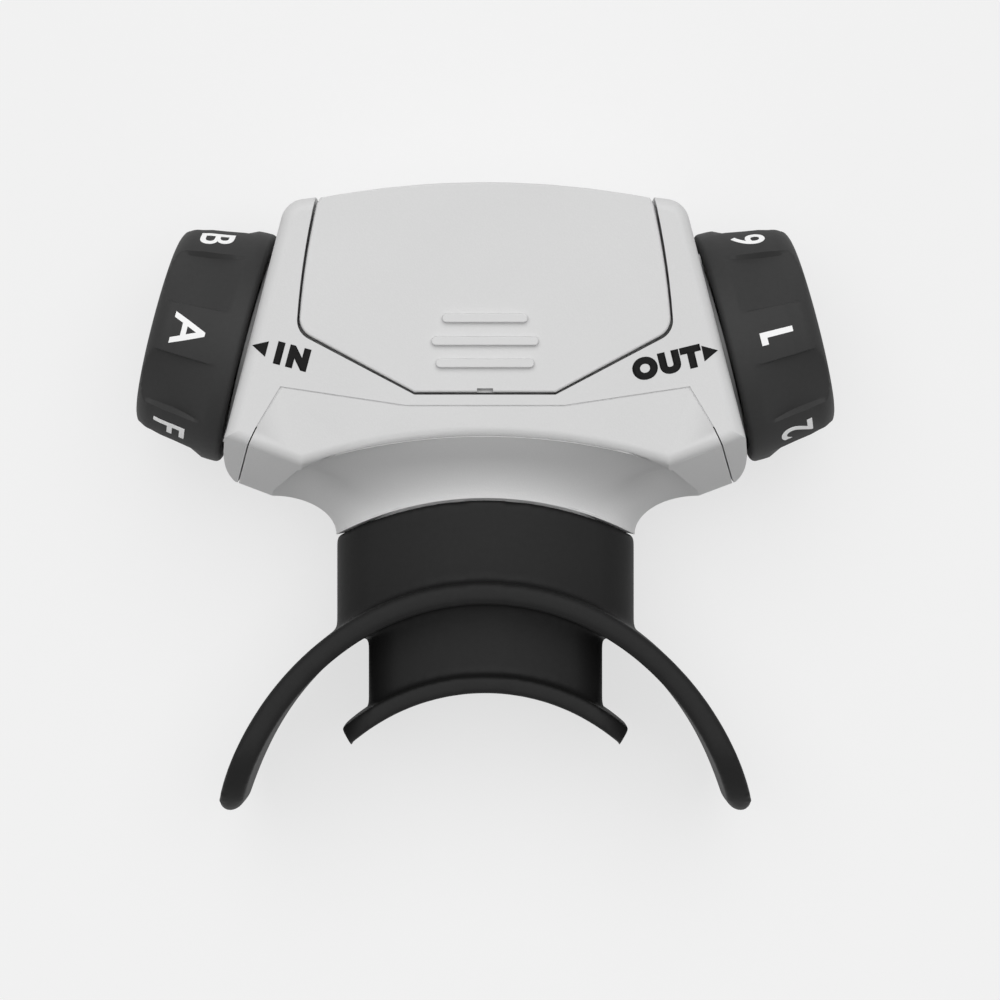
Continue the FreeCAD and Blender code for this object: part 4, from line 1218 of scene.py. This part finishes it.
@dataclass
class Housing:
    """The two grey shells, with the direction words printed beside the dials."""

    print_height: float = 2.9
    boldness: float = 0.088
    ink: float = 0.03
    arrow_length: float = 1.95
    arrow_width: float = 0.9
    lift: float = 0.012
    drop_from: float = 40.0
    seam: tuple[tuple[float, float], ...] = ((10.0, 11.6), (25.6, 13.95), (28.7, 8.95))
    tongue_top: float = 32.74
    tongue_depth: float = 0.5
    tongue_width: float = 0.7

    def lay(self, item: bpy.types.Object, centre: tuple[float, float], turn: float) -> None:
        """Turns flat ink, puts it over its place and drops it on the front shell.

        Args:
            item: The flat ink.
            centre: Its centre's X and Y in millimetres.
            turn: Its turn in degrees, anticlockwise seen from above.
        """
        item.data.transform(Matrix.Rotation(math.radians(turn), 4, "Z"))
        item.data.transform(
            Matrix.Translation(Vector((centre[0], centre[1], self.drop_from)) * MM)
        )
        Bench.modify(
            item,
            "SHRINKWRAP",
            target=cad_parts["front_housing"],
            wrap_method="PROJECT",
            use_project_z=True,
            use_negative_direction=True,
            use_positive_direction=False,
            offset=self.lift * MM,
        )

    def word(
        self,
        words: str,
        centre: tuple[float, float],
        turn: float,
        width: float,
        spacing: float,
    ) -> bpy.types.Object:
        """Prints one direction word.

        Args:
            words: The word.
            centre: Its centre's X and Y in millimetres.
            turn: Its turn in degrees.
            width: Its width in millimetres.
            spacing: The letters' distances against the plain ones.

        Returns:
            The ink.
        """
        lettering = Lettering(words, self.print_height, self.boldness, width, spacing, self.ink)
        item = lettering.flat(f"print_{words.lower()}")
        self.lay(item, centre, turn)
        lettering.raise_ink(item)
        return item

    def arrow(self, side: Side, tip: tuple[float, float], turn: float) -> bpy.types.Object:
        """Prints the arrowhead that points at a dial.

        Args:
            side: Which dial it points at.
            tip: The place of its tip in millimetres.
            turn: Its turn in degrees.

        Returns:
            The ink.
        """
        Bench.clear()
        radius = self.arrow_length * 2 / 3 * MM
        bpy.ops.mesh.primitive_circle_add(vertices=3, radius=radius, fill_type="NGON")
        item = Bench.named(f"print_arrow_{side.name.lower()}")
        Bench.edit(item)
        bpy.ops.mesh.select_all(action="SELECT")
        bpy.ops.transform.rotate(
            value=math.radians(90 * side.value),
            orient_axis="Z",
            center_override=(0, 0, 0),
        )
        bpy.ops.transform.resize(value=(1, self.arrow_width, 1), center_override=(0, 0, 0))
        Bench.done()
        points = [vertex.co.x * side.value for vertex in item.data.vertices]
        item.data.transform(Matrix.Translation((-side.value * max(points), 0, 0)))
        lettering = Lettering("", self.print_height, 0.0, thickness=self.ink)
        lettering.cut_cells(item)
        self.lay(item, tip, turn)
        lettering.raise_ink(item)
        return item

    def seam_tongue(self) -> bpy.types.Object:
        """Runs the tongue that closes the joint of the two shells just under the top face."""
        right = [Vector((*corner, self.tongue_top)) * MM for corner in self.seam]
        corners = [Vector((-spot.x, spot.y, spot.z)) for spot in reversed(right)] + right
        item = Bench.traced("seam_tongue", corners)
        bpy.ops.mesh.extrude_region_move(
            TRANSFORM_OT_translate={"value": (0, 0, -self.tongue_depth * MM)}
        )
        Bench.done()
        Bench.modify(
            item, "SOLIDIFY", thickness=self.tongue_width * MM, offset=0.0, use_even_offset=True
        )
        return item

    def build(self, finishes: Finishes) -> None:
        """Dresses the shells and prints on them."""
        dress_nodes(["front_housing"], finishes.shell)
        dress_nodes(["housing_screws"], finishes.steel)
        dress_nodes(["sensor_port_seal"], finishes.seal_rubber)
        tongue = self.seam_tongue()
        paint(tongue, finishes.shell)
        attach(tongue, Body.HOUSING)
        prints = [
            self.word("IN", (-24.3, 17.85), -15.0, 4.3, 1.45),
            self.arrow(Side.IN, (-29.35, 19.3), -15.0),
            self.word("OUT", (22.95, 17.05), 13.6, 9.0, 1.27),
            self.arrow(Side.OUT, (29.35, 18.65), 12.5),
        ]
        for item in prints:
            paint(item, finishes.black_ink)
            attach(item, Body.HOUSING)


@dataclass
class Cover:
    """The lift-out cover, with soft edges and a front that meets the shell's corners."""

    top: float = 33.0
    half_front: float = 20.75
    corner_place: float = 39.06
    inner_place: float = 37.3
    arc: float = 174.0
    drawn_in: tuple[float, float] = (0.45, 1.17)
    edge_round: float = 0.3
    rib_round: float = 0.16
    rib_height: float = 0.7
    face_start: float = 14.2
    face_end: float = 30.0
    face_half: float = 9.0
    notch_half: float = 1.4
    node: str = "module_cover"

    def on_rim(self, one: Vector, two: Vector) -> bool:
        """Says whether an edge runs round the cover's top face."""
        if max(abs(one.z - self.top * MM), abs(two.z - self.top * MM)) > 0.01 * MM:
            return False
        middle = (one + two) / 2 / MM
        on_face = abs(middle.x) < self.face_half and self.face_start < middle.y < self.face_end
        return not on_face and max(abs(one.x), abs(two.x)) > self.notch_half * MM

    def on_rib(self, one: Vector, two: Vector) -> bool:
        """Says whether an edge runs round the top of a thumb rib."""
        level = (self.top + self.rib_height) * MM
        return max(abs(one.z - level), abs(two.z - level)) < 0.01 * MM

    def draw_in(self, item: bpy.types.Object) -> None:
        """Draws the outer skin of the front wall in, more towards its corners."""
        chord = math.sqrt(self.arc**2 - self.half_front**2)
        middle, corner = self.drawn_in
        for vertex in item.data.vertices:
            x, y = vertex.co.x / MM, vertex.co.y / MM
            if y <= self.inner_place:
                continue
            front = self.corner_place + math.sqrt(self.arc**2 - x**2) - chord
            run = (y - self.inner_place) / (front - self.inner_place)
            share = (x / self.half_front) ** 2
            vertex.co.y -= (middle + (corner - middle) * share) * run * MM

    def build(self, finishes: Finishes) -> None:
        """Makes and dresses the cover."""
        item = Bench.copied("cover_skin", self.node)
        Bench.edit(item, "EDGE")
        bpy.ops.mesh.select_all(action="SELECT")
        bpy.ops.mesh.dissolve_limited(angle_limit=math.radians(1))
        Bench.done()
        Bench.round_edges(item, self.on_rim, self.edge_round)
        Bench.round_edges(item, self.on_rib, self.rib_round)
        self.draw_in(item)
        Bench.smooth(item, 30)
        Bench.modify(item, "WEIGHTED_NORMAL", keep_sharp=True)
        paint(item, finishes.cover)
        attach(item, Body.MODULE, self.node, slot="housing")


@dataclass
class Module:
    """The sensing module under the lift-out shield."""

    def build(self, finishes: Finishes) -> None:
        """Dresses the module."""
        dress_nodes(["module_tray"], finishes.inner_plastic)
        dress_nodes(["module_seal"], finishes.seal_rubber)
        dress_nodes(["module_screws"], finishes.steel)
        dress_nodes(["circuit_board"], finishes.board)
        dress_nodes(["battery_cell"], finishes.cell_can)
        dress_nodes(["pressure_sensor"], finishes.sensor)


@dataclass
class Studio:
    """The pale floor, the soft light and the camera above the trainer."""

    camera_place: tuple[float, float, float] = (1.885, -0.22, 544.5)
    field_of_view: float = 14.04
    floor_level: float = 240.0
    shown_level: float = 243.0
    veil: float = 0.75
    floor_size: float = 6.0
    sun_share: float = 0.76
    sun_lean: tuple[float, float] = (-19.0, 0.0)
    sun_spread: float = 70.0

    def floor(self) -> bpy.types.Object:
        """Lays the floor, which shows as the photograph's pale ground and keeps the shadow."""
        Bench.clear()
        bpy.ops.mesh.primitive_plane_add(size=self.floor_size)
        item = Bench.named("studio_floor")
        recipe = Recipe("studio_floor_paper")
        fibre = recipe.noise(4 * MM, 2)
        recipe.set(
            Base_Color=recipe.blend(fibre, grey(self.floor_level - 1), grey(self.floor_level + 1)),
            Roughness=0.95,
            Specular_IOR_Level=0.0,
        )
        glow = recipe.node("ShaderNodeEmission", {}, {"Color": grey(self.shown_level)})
        paper = Signal(recipe, recipe.shader.outputs[0])
        veiled = recipe.node(
            "ShaderNodeMixShader", {}, {0: recipe.seen() * self.veil, 1: paper, 2: glow}
        )
        recipe.feed(recipe.output.inputs["Surface"], veiled)
        paint(item, recipe.material)
        return item

    def light(self) -> None:
        """Sets a wide soft lamp overhead and an even white surround."""
        Bench.clear()
        bpy.ops.object.light_add(type="SUN", location=(0, 0, 1))
        lamp = bpy.context.object
        lamp.name = "overhead_softbox"
        lamp.data.energy = math.pi * self.sun_share
        lamp.data.angle = math.radians(self.sun_spread)
        lamp.rotation_euler = [math.radians(angle) for angle in (*self.sun_lean, 0.0)]
        world = bpy.data.worlds.new("studio_surround")
        bpy.context.scene.world = world
        writer = NodeWriter(world)
        lit = writer.node(
            "ShaderNodeBackground", {}, {"Color": grey(255), "Strength": 1 - self.sun_share}
        )
        shown = writer.node("ShaderNodeBackground", {}, {"Color": grey(self.floor_level)})
        mixed = writer.node("ShaderNodeMixShader", {}, {0: writer.seen(), 1: lit, 2: shown})
        writer.node("ShaderNodeOutputWorld", {}, {"Surface": mixed}, None)

    def camera(self) -> None:
        """Hangs the camera straight above, with the photograph's up along +Y."""
        Bench.clear()
        bpy.ops.object.camera_add(location=Vector(self.camera_place) * MM, rotation=(0, 0, 0))
        camera = bpy.context.object
        camera.name = "studio_camera"
        camera.data.sensor_width = 36.0
        camera.data.lens = 18.0 / math.tan(math.radians(self.field_of_view / 2))
        camera.data.clip_start = 0.01
        camera.data.clip_end = 20.0
        bpy.context.scene.camera = camera
        bpy.context.scene.view_settings.view_transform = "Standard"

    def build(self) -> None:
        """Sets the whole studio."""
        self.floor()
        self.light()
        self.camera()


def main() -> None:
    """Dresses the trainer, sub-assembly by sub-assembly."""
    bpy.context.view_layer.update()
    finishes = Finishes()
    Housing().build(finishes)
    Flare().build(finishes)
    Cover().build(finishes)
    Module().build(finishes)
    Mouthpiece().build(finishes)
    Dial(Side.IN, "ABCDEF").build(finishes)
    Dial(Side.OUT, "123456", sign_place=7.1).build(finishes)
    Studio().build()


if __name__ == "__main__":
    main()
